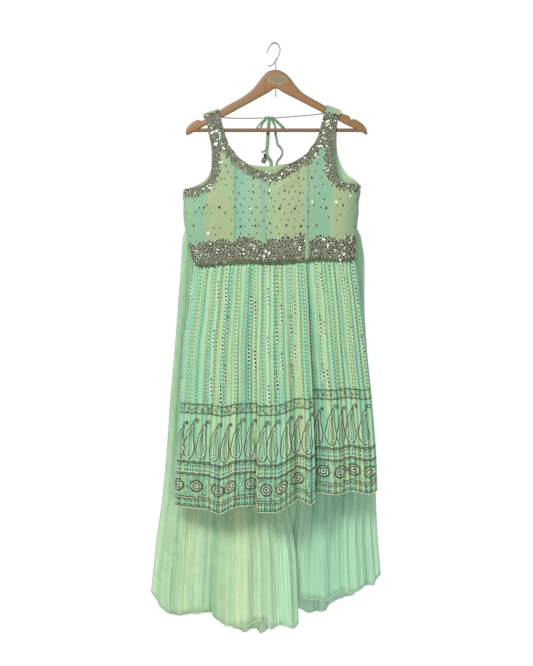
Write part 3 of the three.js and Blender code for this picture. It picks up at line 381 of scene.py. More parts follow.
# a material and the one method that adds nodes to it
class Look:
    def __init__(self, name, **uniform):
        self.material = bpy.data.materials.new(name)
        self.material.use_nodes = True
        self.nodes = self.material.node_tree.nodes
        self.links = self.material.node_tree.links
        self.shader = self.nodes["Principled BSDF"]
        for key, value in uniform.items():
            self.set(key.replace("_", " "), value)

    # a link, or a value of the socket's own kind
    def fill(self, socket, value):
        if isinstance(value, Value):
            self.links.new(value.socket, socket)
        elif isinstance(value, tuple) and len(value) == 3 and socket.type == "RGBA":
            socket.default_value = (*value, 1)
        else:
            socket.default_value = value

    # type, settings, then socket values in order or by name; returns the first output, or the one asked for
    def node(self, kind, settings=None, *inputs, out=0, **named):
        node = self.nodes.new(kind)
        for key, value in (settings or {}).items():
            if key == "stops":
                while len(node.color_ramp.elements) < len(value):
                    node.color_ramp.elements.new(0.5)
                for element, (place, colour) in zip(node.color_ramp.elements, value):
                    element.position, element.color = place, (*colour, 1) if len(colour) == 3 else colour
            else:
                setattr(node, key, value)
        for key, value in [*enumerate(inputs), *named.items()]:
            if value is None:
                continue
            self.fill(node.inputs[key.replace("_", " ") if isinstance(key, str) else key], value)
        return Value(self, node.outputs[out])

    def set(self, key, value):
        self.fill(self.shader.inputs[key], value)

    # two colours or links mixed by a factor
    def blend(self, factor, first, second):
        node = self.nodes.new("ShaderNodeMix")
        node.data_type = "RGBA"
        for key, value in ((0, factor), (6, first), (7, second)):
            self.fill(node.inputs[key], value)
        return Value(self, node.outputs[2])

    # object coordinates or the cloth's UV map, scaled
    def place(self, kind, scale=(1, 1, 1)):
        node = self.nodes.new("ShaderNodeTexCoord") if kind == "object" else self.nodes.new("ShaderNodeUVMap")
        source = Value(self, node.outputs["Object"] if kind == "object" else node.outputs[0])
        return self.node("ShaderNodeMapping", None, source, Scale=scale)

    # noise from 0 to 1 at a place
    def noise(self, where, scale, detail=3, rough=0.5, distortion=0):
        return self.node("ShaderNodeTexNoise", None, None, Vector=where, Scale=scale, Detail=detail, Roughness=rough,
                         Distortion=distortion)

    # a value times a slope plus a start, kept from 0 to 1
    def line(self, value, slope, start):
        return self.node("ShaderNodeMath", {"operation": "MULTIPLY_ADD", "use_clamp": True}, value, slope, start)

    # one part of a place: 0 across, 1 deep, 2 up
    def part(self, where, axis):
        return self.node("ShaderNodeSeparateXYZ", None, where, out=axis)

    # colours at stops along a factor
    def ramp(self, factor, stops):
        return self.node("ShaderNodeValToRGB", {"stops": stops}, factor)

    # height drives the normal
    def bump(self, height, distance, strength=1.0):
        self.set("Normal", self.node("ShaderNodeBump", None, None, Height=height, Distance=distance, Strength=strength))


# a colour of 0 to 255 as light, by the usual screen curve
def srgb(red, green, blue):
    def linear(c):
        c /= 255
        return c / 12.92 if c <= 0.04045 else ((c + 0.055) / 1.055) ** 2.4
    return tuple(linear(c) for c in (red, green, blue))


# georgette: dyed in soft streaks down the cloth, a fine crepe grain, and creases that run with the gathers.
# wide and tall are streaks to the metre, fine is the share of the narrow ones, teal turns the right side bluer, and
# stripes are colours at given places across, in millimetres from the middle: dyed, and painted lighter on the back to
# make up for shade
def makeGeorgette(name, colours, wide, tall, fine, crease, depth=0.0016, alpha=1.0, teal=None, stripes=None):
    look = Look(name, Roughness=0.8, Sheen_Weight=0.22, Sheen_Roughness=0.5, Specular_IOR_Level=0.22)
    broad = look.noise(look.place("uv", (wide, tall, 1)), 1.0, 1.5, 0.4, 0.3)
    narrow = look.noise(look.place("uv", (wide * 5, tall * 2.2, 1)), 1.0, 3, 0.55)
    mottle = look.noise(look.place("uv", (34, 26, 1)), 1.0, 3, 0.6)
    mixed = broad * (0.86 - fine) + narrow * fine + mottle * 0.14
    streak = look.line(mixed, 3.6, -1.3)
    colour = look.ramp(streak, [(0.0, colours[0]), (0.34, colours[1]), (0.66, colours[2]), (1.0, colours[3])])
    if stripes:
        side = look.part(look.place("object"), 0) + (mottle - 0.5) * 0.03 + (broad - 0.5) * 0.05
        at = look.line(side, 2.2, 0.5)
        colour = look.blend(0.62, colour, look.ramp(at, [(0.5 + x * 0.0022, shade) for x, shade in stripes]))
    if teal:
        side = look.part(look.place("object"), 0)
        share = look.line(side + mottle * 0.05, 14.0, 0.15)
        colour = look.blend(share * 0.66, colour, teal)
    threads = look.noise(look.place("uv", (900, 120, 1)), 1.0, 2)
    colour = look.blend(threads * 0.30, colour, tuple(c * 0.68 for c in colours[0]))
    look.set("Base Color", colour)
    grain = look.noise(look.place("uv", (1500, 1500, 1)), 1.0, 2)
    folds = look.noise(look.place("uv", (crease, crease * 0.05, 1)), 1.0, 4, 0.6, 0.4)
    look.bump(grain * 0.12 + folds * 0.88, depth, 0.85)
    if alpha < 1:
        look.set("Alpha", alpha)
    return look.material


bodiceColours = [srgb(112, 158, 134), srgb(132, 164, 130), srgb(146, 166, 122), srgb(154, 160, 112)]
skirtColours = [srgb(104, 166, 142), srgb(138, 188, 154), srgb(164, 198, 152), srgb(176, 186, 132)]
sheerColours = [srgb(138, 184, 150), srgb(176, 212, 170), srgb(208, 230, 188), srgb(220, 230, 180)]
aqua, olive, mint = srgb(107, 150, 127), srgb(145, 152, 110), srgb(132, 157, 124)
frontStripes = [
    (-215, mint), (-203, aqua), (-174, aqua), (-158, olive), (-110, olive), (-98, aqua), (-84, srgb(126, 163, 136)),
    (-58, mint), (-36, mint), (-25, aqua), (-12, mint), (14, srgb(145, 163, 124)), (34, olive), (70, olive),
    (80, mint), (92, aqua), (124, aqua), (142, mint), (164, olive), (186, mint), (214, aqua)]
# the back panels show their inner face, which lies in the front's shade: these stripes are painted lighter than the
# cloth to make up for that shade
backStripesPaintedLighter = [
    (-215, srgb(150, 186, 150)), (-90, srgb(170, 190, 150)), (40, srgb(170, 190, 150)), (110, srgb(150, 196, 164)),
    (215, srgb(146, 194, 164))]
bodiceCloth = makeGeorgette("georgetteBodice", bodiceColours, 17, 1.2, 0.3, 60, 0.0018, stripes=frontStripes)
# a copy of the bodice cloth painted lighter, for the shaded inner face of the back
bodiceBackPaintedLighterCloth = makeGeorgette("georgetteBackPaintedLighter", bodiceColours, 17, 1.2, 0.2, 60, 0.0014, stripes=backStripesPaintedLighter)
skirtCloth = makeGeorgette("georgetteSkirt", skirtColours, 42, 0.9, 0.42, 330, 0.0024)
palazzoCloth = makeGeorgette("georgetteSheer", sheerColours, 13, 0.6, 0.3, 420, 0.0034, 0.78, srgb(174, 228, 198))
liningCloth = makeGeorgette("liningCloth", [srgb(150, 194, 158)] * 2 + [srgb(170, 206, 170)] * 2, 12, 0.7, 0.2, 60)
print("cloth looks ready")


# the ground between the beads: mint cloth almost hidden by grey-olive couching, whose stitches are lighter on their
# raised middles and darkened towards their low edges as painted shade
def makeGround(name):
    look = Look(name, Roughness=0.6)
    where = look.place("object")
    cells = look.node("ShaderNodeTexVoronoi", {"feature": "F1"}, None, Vector=where, Scale=380)
    stain = look.noise(where, 110, 3)
    # stitch colour: the couching's own grey-olive, lighter at each raised middle and darkened to near black in the
    # hollows between stitches, which is painted shade
    stitches = look.ramp(cells, [(0.0, srgb(120, 126, 98)), (0.5, srgb(66, 73, 50)), (0.9, srgb(24, 28, 17))])
    cloth = look.ramp(stain, [(0.44, srgb(104, 130, 98)), (0.6, srgb(70, 78, 54))])
    look.set("Base Color", look.blend(stain * 1.1, cloth, stitches))
    look.bump(1 - cells, 0.0012, 0.8)
    return look.material


# glass and foil: tone of each bead picks its colour
def makeBeadLook(name, stops, metallic, roughness):
    look = Look(name, Metallic=metallic, Roughness=roughness, Specular_IOR_Level=0.6)
    tone = look.node("ShaderNodeAttribute", {"attribute_name": "tone"}, out=2)
    tarnish = look.noise(look.place("object"), 300, 2)
    colour = look.ramp(tone, stops)
    look.set("Base Color", look.blend(tarnish * 0.25, colour, srgb(90, 92, 70)))
    look.set("Roughness", tarnish * 0.25 + (roughness - 0.1))
    return look.material


# thread: two colours mixed by a fine noise, which is also its relief
def makeThreadLook(name, colour, second):
    look = Look(name, Roughness=0.6, Sheen_Weight=0.2)
    where = look.place("object")
    twist = look.noise(where, 900, 2)
    look.set("Base Color", look.blend(twist, colour, second))
    look.bump(twist, 0.0003, 0.6)
    return look.material


beadGround = makeGround("beadGround")
silverBeads = makeBeadLook("silverBeads", [
    (0, srgb(42, 46, 32)), (0.35, srgb(92, 95, 70)), (0.7, srgb(152, 155, 128)), (1, srgb(208, 211, 192))], 0.4, 0.35)
darkMirrors = makeBeadLook("darkMirrors", [(0, srgb(9, 12, 7)), (0.75, srgb(22, 26, 15)), (1, srgb(78, 84, 64))], 0.3,
                           0.2)
paleBezels = makeBeadLook("paleBezels", [(0, srgb(150, 152, 128)), (1, srgb(206, 208, 188))], 0.35, 0.4)
whiteSequins = makeBeadLook("whiteSequins", [
    (0, srgb(206, 222, 204)), (0.5, srgb(240, 246, 238)), (1, srgb(254, 254, 252))], 0.1, 0.25)
darkThread = makeThreadLook("darkThread", srgb(44, 52, 32), srgb(74, 76, 50))
copperThread = makeThreadLook("copperThread", srgb(142, 112, 92), srgb(112, 96, 74))
whiteThread = makeThreadLook("whiteThread", srgb(222, 234, 210), srgb(192, 216, 186))
paleThread = makeThreadLook("paleThread", srgb(206, 222, 196), srgb(178, 204, 172))


# planed wood: rings drawn out along the arm, darker in the pores, with one worn pale patch and a joint line
def makeWood(name, light, dark, patch=None):
    look = Look(name, Specular_IOR_Level=0.45)
    where = look.place("object", (2.2, 9, 9))
    warp = look.noise(where, 6, 3, 0.6)
    rings = look.node("ShaderNodeTexNoise", None, None, Vector=look.place("object", (5, 70, 70)), Scale=5.0, Detail=4.0,
                      Distortion=1.2)
    pores = look.noise(look.place("object", (40, 900, 900)), 1.0, 3)
    colour = look.blend(rings * 0.8 + warp * 0.2, light, dark)
    colour = look.blend(pores * 0.35, colour, tuple(c * 0.6 for c in dark))
    rough = rings * 0.15 + 0.38
    if patch:
        spot = look.node("ShaderNodeTexCoord", None, out=3)
        spot = look.node("ShaderNodeVectorMath", {"operation": "SUBTRACT"}, spot, patch["centre"])
        spot = look.node("ShaderNodeVectorMath", {"operation": "DIVIDE"}, spot, patch["half"])
        reach = look.node("ShaderNodeVectorMath", {"operation": "LENGTH"}, spot, out=1)
        ragged = look.noise(look.place("object"), 160, 4)
        worn = look.line(reach + ragged * 0.9, -5.0, 6.6)
        colour = look.blend(worn, colour, patch["colour"])
        rim = look.line(worn * (1 - worn), 4.0, -0.1)
        colour = look.blend(rim * 0.5, colour, srgb(138, 138, 112))
        joint = look.node("ShaderNodeMath", {"operation": "ABSOLUTE"}, look.part(look.place("object"), 0) + 0.0233)
        joint = look.line(joint, -700.0, 1.0)
        colour = look.blend(joint * 0.6, colour, tuple(c * 0.45 for c in dark))
        rough = rough + worn * 0.25
    look.set("Base Color", colour)
    look.set("Roughness", rough)
    look.bump(pores * 0.6 + rings * 0.4, 0.0004, 0.6)
    return look.material


armWood = makeWood("armWood", srgb(140, 104, 62), srgb(110, 78, 42),
                   {"centre": (0.0076, -0.008, -0.0896), "half": (0.031, 0.007, 0.0145), "colour": srgb(112, 101, 77)})
barWood = makeWood("barWood", srgb(130, 98, 60), srgb(92, 66, 38))


# zinc-bright wire, tarnished at the crown and where it enters its shank
def makeSteel(name):
    look = Look(name, Metallic=0.25)
    where = look.place("object")
    fine = look.noise(where, 500, 3)
    height = look.part(where, 2) + (look.noise(where, 90, 3) - 0.5) * 0.012
    at = look.line(height, 16.0, 1.0)
    bright, dull = (0.22, 0.23, 0.20), (0.06, 0.05, 0.035)
    look.set("Base Color", look.ramp(at, [(0.0, bright), (0.27, bright), (0.33, dull), (0.36, dull), (0.42, bright),
                                          (0.955, bright), (0.99, dull)]))
    look.set("Roughness", fine * 0.2 + 0.25)
    look.bump(fine, 0.0002, 0.4)
    return look.material


steelLook = makeSteel("hookSteel")
print("hard looks ready")


# Dori: the back neck ties, first of the pieces because they are cords
doriY = 12.2
doriLook = makeGeorgette("doriCloth", [srgb(82, 112, 90), srgb(98, 130, 102), srgb(120, 150, 118), srgb(146, 166, 130)],
                         60, 40, 0.3, 500, 0.0006)
spanLook = makeThreadLook("doriSpanThread", srgb(112, 120, 88), srgb(78, 84, 58))
doriCords = {
    "dori_left_span": {"radius": 1.2, "plain": True, "count": 60, "lay": "taut", "end": "object", "points": [
        [-135.1, 9, -178.8], [-120, 10.6, -180.4], [-84.5, doriY, -181.6], [-27.3, doriY, -180.8]]},
    "dori_right_span": {"radius": 1.2, "plain": True, "count": 60, "lay": "taut", "end": "object", "points": [
        [3.5, doriY, -180.4], [62.5, doriY, -176], [105, 11, -172], [125.9, 9, -168.6]]},
    "dori_left_loop": {"radius": 1.7, "flat": 1.35, "count": 60, "lay": "hanging", "end": "bare", "points": [
        [-21.6, doriY, -182.2], [-27.5, 12.8, -187.2], [-34, 13.4, -194.2], [-40.4, 14, -200.6], [-42.4, 14, -206],
        [-38.4, 14.2, -208.8], [-33.6, 14.4, -204.4], [-31, 14.6, -197.6], [-26.6, 14.4, -191.2],
        [-20.5, 13.4, -183.6]]},
    "dori_right_loop": {"radius": 2.6, "flat": 1.45, "count": 30, "lay": "hanging", "end": "bare", "points": [
        [-1.6, doriY, -181.6], [2.4, 12.6, -186.4], [9.5, 13, -193], [16.5, 14, -199.5], [24.3, 14, -208.6]]},
    "dori_left_tail": {"radius": 3, "flat": 1.45, "count": 70, "lay": "hanging", "end": "bare", "points": [
        [-12.6, doriY, -181], [-15.9, 14, -222.1], [-17.4, 15, -247.6], [-18.9, 17, -267.9], [-15.4, 18, -277],
        [-9, 19.5, -286], [-8, 21.5, -300], [-9, 22.5, -330]]},
    "dori_right_tail": {"radius": 2, "flat": 1.45, "count": 80, "lay": "hanging", "end": "bare", "points": [
        [-6, doriY, -181.5], [-4.8, 12.6, -188], [1.2, 13.5, -200], [2.9, 14, -219.6], [5.9, 15, -236.8],
        [8.5, 15, -247], [13.6, 16, -251.5], [19.1, 17, -260.8], [19.1, 17.5, -268.5], [15.2, 18.5, -277],
        [7, 19.5, -287], [5, 20.5, -298], [6, 21.5, -322]]},
}
for name, cord in doriCords.items():
    piece, path = makeCord(name + "_cloth", cord["points"], cord["radius"], cord["count"],
                           spanLook if "plain" in cord else doriLook, flat=cord.get("flat", 1.0))
    dress(piece, "dori", name)
print("dori ready")


# Hanger
armSections = table("x top bottom", [
    (-217.3, -217.5, -222.5), (-216.3, -211.5, -225.4), (-213, -205.8, -224.4), (-205, -197.2, -220.8),
    (-198, -192.4, -216.2), (-190.6, -188.7, -212), (-187.4, -187.6, -210.5), (-182.6, -189.7, -208.3),
    (-178.6, -190, -206.2), (-172, -187, -202.4), (-160, -180.5, -196.5), (-137.9, -167.5, -186),
    (-125, -158.5, -179.9), (-72.3, -128, -151.5), (-52.7, -111.6, -141), (-39.4, -95.2, -133.5),
    (-26.5, -78.8, -126.5), (-13.5, -68.2, -119.4), (3, -65, -110.2), (20.8, -70.2, -119.5), (38, -84.9, -128.4),
    (50.7, -101.8, -134.8), (67.1, -119.9, -143.2), (112, -146.5, -166), (127.9, -155.5, -174), (145, -162.5, -182.7),
    (162.4, -170.3, -191.7), (172.1, -174.4, -197.3), (182.1, -178.4, -202), (184.8, -181.5, -203.2),
    (186.2, -185.6, -203.8), (188.4, -186.8, -204.8), (193.6, -185.8, -207.2), (198.6, -187.2, -209.4),
    (205.6, -190.7, -212.8), (213.1, -195.8, -216.9), (219.1, -201.2, -220.3), (223.6, -207.7, -223),
    (226.6, -214.7, -224), (227.8, -218.5, -221.8)])


# the shoulders: a rounded section carried along x, its top and bottom read from the table
shoulders = {"steps": 420, "corners": 28, "power": 0.42, "halfDeep": 6, "softEnd": 3.5}


def makeShoulders():
    x = np.concatenate([[-217.3], np.linspace(-217.1, 227.6, shoulders["steps"]), [227.8]])
    top, bottom = read(armSections, "top", x), read(armSections, "bottom", x)
    angle = circle(shoulders["corners"])
    power = shoulders["power"]
    wide = np.abs(np.cos(angle)) ** power * np.sign(np.cos(angle)) * shoulders["halfDeep"]
    tall = np.abs(np.sin(angle)) ** power * np.sign(np.sin(angle))
    ends = np.sqrt(clamp(np.minimum(x - x[0] + 0.4, x[-1] - x + 0.4) / shoulders["softEnd"]))
    y = wide[None] * ends[:, None]
    z = ((top + bottom) / 2)[:, None] + ((top - bottom) / 2 * ends)[:, None] * tall[None]
    points = np.stack([np.broadcast_to(x[:, None], y.shape), y, z], axis=-1)
    count, corners = y.shape
    i, j = np.meshgrid(np.arange(count - 1), np.arange(corners), indexing="ij")
    a, b = (i * corners + j).ravel(), (i * corners + (j + 1) % corners).ravel()
    ring = np.arange(corners)
    faces = [np.stack([a, b, b + corners, a + corners], 1), np.stack([ring[::-1], (count - 1) * corners + ring])]
    piece = makeMesh("hanger_shoulders_wood", points, faces, armWood)
    dress(piece, "wood", "hanger_shoulders")


makeShoulders()
hookPoints = [[-18.4, -23.2], [-14.5, -12.9], [-8.6, -3.1], [0, 1.5], [8.6, -2.6], [13.2, -11.9], [12.5, -22.4],
              [8.3, -33], [3.2, -41.8], [-3.7, -51.1], [-11, -55.5], [-16.4, -54.5]]
hook, _ = makeCord("hanger_hook_wire", [[x, 0, z] for x, z in hookPoints], 1.5, 120, steelLook, 14)
dress(hook, "steel", "hanger_hook")
for node, look in (("hanger_bar", barWood), ("hanger_shank", steelLook)):
    frame["nodes"][node].data.materials.clear()
    frame["nodes"][node].data.materials.append(look)
print("hanger ready")


# Kurta bodice
bodiceDepth = table("z front back side", [
    (-548, -19, 14, 1), (-494, -23, 15, 1), (-445, -28, 16.5, 0), (-400, -30, 17, 0), (-360, -27, 16.5, 1),
    (-320, -20, 15, 1), (-270, -13.5, 13, 1), (-230, -10.5, 10.8, 0), (-180, -9.4, 9.4, 0)])
waistSeam = table("x z", [
    (-197.5, -543), (-166.6, -543.5), (-135.7, -540), (-95.6, -536.6), (-58.3, -536), (-6.6, -537.6), (23.3, -536.4),
    (57.8, -533), (83.8, -529.8), (117.8, -528.9), (161, -529.9), (198, -529.9)])
sideColumns = "row outX outZ inX inZ open"


# rows of a side panel, numbered from the waist up
def sideRows(rows):
    return table(sideColumns, [(k, *row) for k, row in enumerate(rows)])


sidePanels = {
    "bodice_front_left": {"side": -1, "top": (-173.5, -172.5, -135.5, -160), "rows": sideRows([
        (-197.5, -543, -95.6, -536.6, 0), (-210.7, -494, -95.6, -487, 0), (-221.7, -445, -95.6, -437.7, 0),
        (-224.2, -400.9, -95.6, -393.6, 0), (-221.2, -360, -95.6, -354.4, 0), (-204.6, -358.8, -95.6, -338.5, 0.45),
        (-187.2, -355.9, -95.6, -322.5, 0.75), (-170, -346.3, -95.6, -306.6, 0.95), (-157.3, -331.1, -95.6, -290.7, 1),
        (-153.1, -300.5, -95.6, -273.5, 1), (-152.9, -261.3, -109, -253.9, 1), (-159.7, -224.3, -121.3, -222.1, 1),
        (-166.5, -190.2, -131.1, -186, 1)])},
    "bodice_front_right": {"side": -1, "top": (162.5, -164, 128, -151), "rows": sideRows([
        (198, -529.9, 83.8, -529.8, 0), (202.1, -480, 83.8, -480, 0), (204.6, -437.7, 83.8, -435.2, 0),
        (207.5, -391.1, 83.8, -388.7, 0), (210.7, -351.9, 83.8, -349.5, 0), (193.6, -346.8, 83.8, -332.3, 0.45),
        (178.1, -346.3, 83.8, -316.4, 0.75), (161, -339.4, 83.8, -300.5, 0.95), (147.2, -323.3, 83.8, -284.6, 1),
        (141.4, -290.7, 83.8, -266.2, 1), (141.6, -258.8, 99.7, -242.9, 1), (148, -222.1, 109.8, -217.2, 1),
        (156.1, -181, 120.3, -176, 1)])},
    "bodice_back_left": {"side": 1, "top": (-173.5, -172.5, -135.5, -160), "rows": sideRows([
        (-197.5, -543, -1, -538.1, 0), (-210.7, -494, -1, -490.4, 0), (-221.7, -445, -1, -442.6, 0),
        (-224.2, -400.9, -1, -403.4, 0), (-221.2, -360, -1, -364.2, 0), (-198.2, -350, -1, -339.7, 0.5),
        (-173.5, -336, -1, -317.6, 0.9), (-159.7, -317.2, -1, -299.8, 1), (-154.6, -300, -41.2, -298.3, 1),
        (-154.4, -280.9, -77.2, -291.4, 1), (-154.8, -261.3, -110.3, -272.3, 1), (-157.5, -244.1, -129.1, -249, 1),
        (-161.5, -222.1, -136.5, -222.1, 1), (-167, -190.2, -135.5, -188, 1)])},
    "bodice_back_right": {"side": 1, "top": (162.5, -164, 128, -151), "rows": sideRows([
        (198, -529.9, -0.6, -538.1, 0), (202.1, -481.8, -0.6, -490.4, 0), (204.6, -437.7, -0.6, -442.6, 0),
        (207.5, -391.1, -0.6, -403.4, 0), (210.7, -351.9, -0.6, -364.2, 0), (196, -332.1, -0.6, -339.7, 0.5),
        (183.3, -324, -0.6, -317.6, 0.9), (167.8, -303.4, -0.6, -298.8, 1), (161, -288.2, 31.9, -293.1, 1),
        (157.5, -277.7, 67.4, -279.7, 1), (153.9, -261.3, 98, -262.5, 1), (152.6, -244.1, 115.4, -244.1, 1),
        (152.9, -217.2, 124.2, -217.2, 1), (156.5, -181, 125, -179, 1)])},
}


# a side panel's surface: rows run from the outer edge to the inner one, and the last rows bend over the arm
def sidePlace(panel, across, row):
    rows, side, top = panel["rows"], panel["side"], panel["top"]
    last = rows["at"][-1]
    below = np.minimum(row, last)
    outX, outZ, inX, inZ, opened = (read(rows, c, below) for c in ("outX", "outZ", "inX", "inZ", "open"))
    x = mix(outX, inX, across)
    footZ = mix(rows["outZ"][0], rows["inZ"][0], across)
    z = mix(outZ, inZ, across) + (read(waistSeam, "z", x) - footZ) * (1 - clamp(row))
    depth = read(bodiceDepth, "front" if side < 0 else "back", z)
    seam = read(bodiceDepth, "side", z) + side * 0.1
    edge = mix(seam, depth, opened)
    y = edge + (depth - edge) * mix(turn(across / 0.4), 1 - (1 - clamp(across / 0.4)) ** 2, opened)
    rise = clamp(row - last)
    radians = np.radians(np.interp(row - last - 1, [0, 1, 2, 3, 4], [0, 25, 50, 70, 90]))
    topX, topZ = mix(top[0], top[2], across), mix(top[1], top[3], across)
    capY = side * (0.1 + 9.3 * np.cos(radians) ** 0.6)
    capZ = topZ - 9 + 9 * np.sin(radians) ** 0.8
    return np.stack([mix(x, topX, rise), mix(y, capY, rise), mix(z, capZ, rise)], axis=-1)


neckEdge = table("x z", [
    (-95.3, -273.7), (-84, -284.6), (-66.9, -296.6), (-41.2, -312), (-15.4, -318.9), (-3.2, -323.3), (23.3, -305.1),
    (49.2, -291.4), (75, -274.3), (83.5, -266.4)])


# the front's middle panel: straight between its seams, from the waist seam to the neck edge, bowed a little
def centrePlace(u, v):
    x = mix(seamLeft, seamRight, u)
    z = mix(read(waistSeam, "z", x), read(neckEdge, "z", x), v)
    y = read(bodiceDepth, "front", z) - 2 * np.sin(math.pi * u) ** 2
    return np.stack([x, y, z], axis=-1)


# soft pulls in the bodice: shallow creases fanned from the armholes and down from the bust, as sines faded in
# and out by smooth steps, less a dip along each seam
pullHeights = {"bust": 1.9, "under": 2.1, "neck": 2.2, "seam": 1.3}


def bodicePulls(points):
    x, z = points[..., 0], points[..., 2]
    low = ease((-380 - z) / 60) * ease((z + 500) / 40)
    bust = pullHeights["bust"] * np.sin(x / 17 + 1.4 * np.sin(z / 60)) * low
    under = (pullHeights["under"] * np.sin((z + 0.45 * np.abs(x)) / 9) * ease((np.abs(x) - 120) / 60)
             * ease((z + 460) / 60) * ease((-350 - z) / 25))
    neck = (pullHeights["neck"] * np.sin((z - 0.55 * np.abs(x + 5)) / 7.5) * ease((80 - np.abs(x)) / 40)
            * ease((-325 - z) / 12) * ease((z + 385) / 40))
    seam = sum(np.exp(-((x - at) / 2.6) ** 2) for at in (seamLeft, seamRight))
    return bust + under + neck - pullHeights["seam"] * seam * ease((-262 - z) / 12)


frontPoints, frontNormals = [], []


# the five bodice panels, each its surface plus the pulls
def makeBodice():
    for name, panel in sidePanels.items():
        wide, tall = (80, 110) if panel["side"] < 0 else (76, 76)
        across, row = np.meshgrid(np.linspace(0, 1, wide) ** 1.15, np.linspace(0, panel["rows"]["at"][-1] + 5, tall),
                                  indexing="ij")
        points = sidePlace(panel, across, row)
        normals = gridNormals(points, panel["side"])
        cloth = points + normals * bodicePulls(points)[..., None] * (1 if panel["side"] < 0 else 0.6)
        uv = np.stack([points[..., 0], points[..., 2]], axis=-1)
        piece = clothShell(name + "_cloth", cloth, normals, 1.2, bodiceCloth if panel["side"] < 0 else bodiceBackPaintedLighterCloth,
                           uv)
        dress(piece, "georgette", name)
        if panel["side"] < 0:
            frontPoints.append(cloth.reshape(-1, 3))
            frontNormals.append(normals.reshape(-1, 3))
    u, v = np.meshgrid(np.linspace(0, 1, 110), np.linspace(0, 1, 100), indexing="ij")
    points = centrePlace(u, v)
    normals = gridNormals(points, -1)
    cloth = points + normals * bodicePulls(points)[..., None]
    piece = clothShell("bodice_front_centre_cloth", cloth, normals, 1.2, bodiceCloth,
                       np.stack([points[..., 0], points[..., 2]], axis=-1))
    dress(piece, "georgette", "bodice_front_centre")
    frontPoints.append(cloth.reshape(-1, 3))
    frontNormals.append(normals.reshape(-1, 3))


makeBodice()
frontCloud = np.concatenate(frontPoints)
frontFacing = np.concatenate(frontNormals)
forward = frontFacing[:, 1] < -0.12
frontCloud, frontFacing = frontCloud[forward], frontFacing[forward]


# the bodice surface at places of the front view: the nearest known point's tangent plane gives the depth
def onBodice(x, z, lift=0.0):
    x, z = np.ravel(x), np.ravel(z)
    found = np.empty(len(x), int)
    gap = np.empty(len(x))
    for first in range(0, len(x), 400):
        part = slice(first, first + 400)
        distance = (frontCloud[None, :, 0] - x[part, None]) ** 2 + (frontCloud[None, :, 2] - z[part, None]) ** 2
        found[part] = distance.argmin(1)
        gap[part] = np.sqrt(distance.min(1))
    normals = frontFacing[found]
    near = frontCloud[found]
    y = near[:, 1] - (normals[:, 0] * (x - near[:, 0]) + normals[:, 2] * (z - near[:, 2])) / normals[:, 1]
    y = np.clip(y, near[:, 1] - 2, near[:, 1] + 2)
    places = np.stack([x, y, z], axis=1) + normals * lift
    return places, normals, gap


print("bodice ready")


# Kurta skirt
skirtEdges = table("z left right front back side", [
    (-528, -196, 198.5, -19, 14, 1), (-543, -197, 200, -20, 14, 1), (-584.7, -203.4, 205.8, -24, 15, 0),
    (-638.6, -208.7, 213.1, -28, 16, -1), (-746.4, -223, 225.3, -34, 18, -3), (-871.3, -230.3, 238.1, -40, 20, -6),
    (-1045.3, -241.3, 250.1, -46, 22, -9), (-1146, -244.5, 251.4, -49, 23, -10)])
frontHem = table("across z", [
    (0, -1130.3), (0.17, -1137.4), (0.225, -1146.5), (0.3, -1130.3), (0.4, -1126.6), (0.41, -1142.8), (0.49, -1142.8),
    (0.58, -1120), (0.614, -1112.9), (0.666, -1123.7), (0.688, -1112.4), (0.697, -1096.3), (0.797, -1101.6),
    (0.862, -1092.6), (0.957, -1101.6), (1, -1094.3)])
# each fold: where it starts and ends across, its rise, how soft each side is, and where down the cloth it begins
frontFolds = [
    (0.03, 0.13, 5, 0.03, 0.03, 0.2), (0.175, 0.3, 10, 0.01, 0.04, 0.35), (0.31, 0.37, 4, 0.02, 0.015, 0.1),
    (0.384, 0.402, -8, 0.012, 0.008, 0.5), (0.405, 0.575, 11, 0.008, 0.03, 0.3),
    (0.586, 0.616, -11, 0.016, 0.008, 0.5), (0.62, 0.688, 11, 0.01, 0.003, 0.1),
    (0.6903, 0.73, -10, 0.0005, 0.035, 0.0), (0.76, 0.83, 5, 0.03, 0.03, 0.2), (0.9, 0.96, 5, 0.02, 0.03, 0.3)]
backFolds = [(0.12, 0.25, 4, 0.04, 0.04, 0.3), (0.42, 0.55, 4, 0.04, 0.04, 0.2), (0.74, 0.86, 4, 0.04, 0.04, 0.3)]


# the height of the folds: each rises over its soft start and falls over its soft end, deeper down the cloth
def foldLift(folds, across, down):
    total = 0
    for fold in folds:
        start, end, rise, softStart, softEnd, begins = fold
        up = ease((across - start) / softStart + 0.5)
        off = ease((across - end) / softEnd + 0.5)
        total = total + rise * up * (1 - off) * ease((down - begins + 0.25) / 0.7)
    return total


# gathers: a wave whose ridges are unevenly spaced, wander on their way down and are crossed by finer ones
def gatherLift(across, down, count, first, last, depth):
    share = (across - first) / (last - first)
    step = share * 2 * count * (last - first)
    wander = (0.5 * np.sin(2.7 * step) * 0.22 + 0.25 * np.sin(0.9 * step + 4 * down)
              + 0.16 * np.sin(3 * down + 1.7 * step))
    column = step + wander
    uneven = 0.75 + 0.25 * np.sin(1.9 * column)
    edge = ease(across / 0.02) * ease((1 - across) / 0.02)
    wave = np.cos(math.pi * column)
    ridge = np.sign(wave) * np.abs(wave) ** 0.8
    fine = 0.22 * np.sin(math.pi * column * 2.6 + 2 * np.sin(5 * down)) * (1 - 0.5 * down)
    return -0.5 * depth * (ridge + fine) * uneven * edge * mix(0.8, 1.25, down)


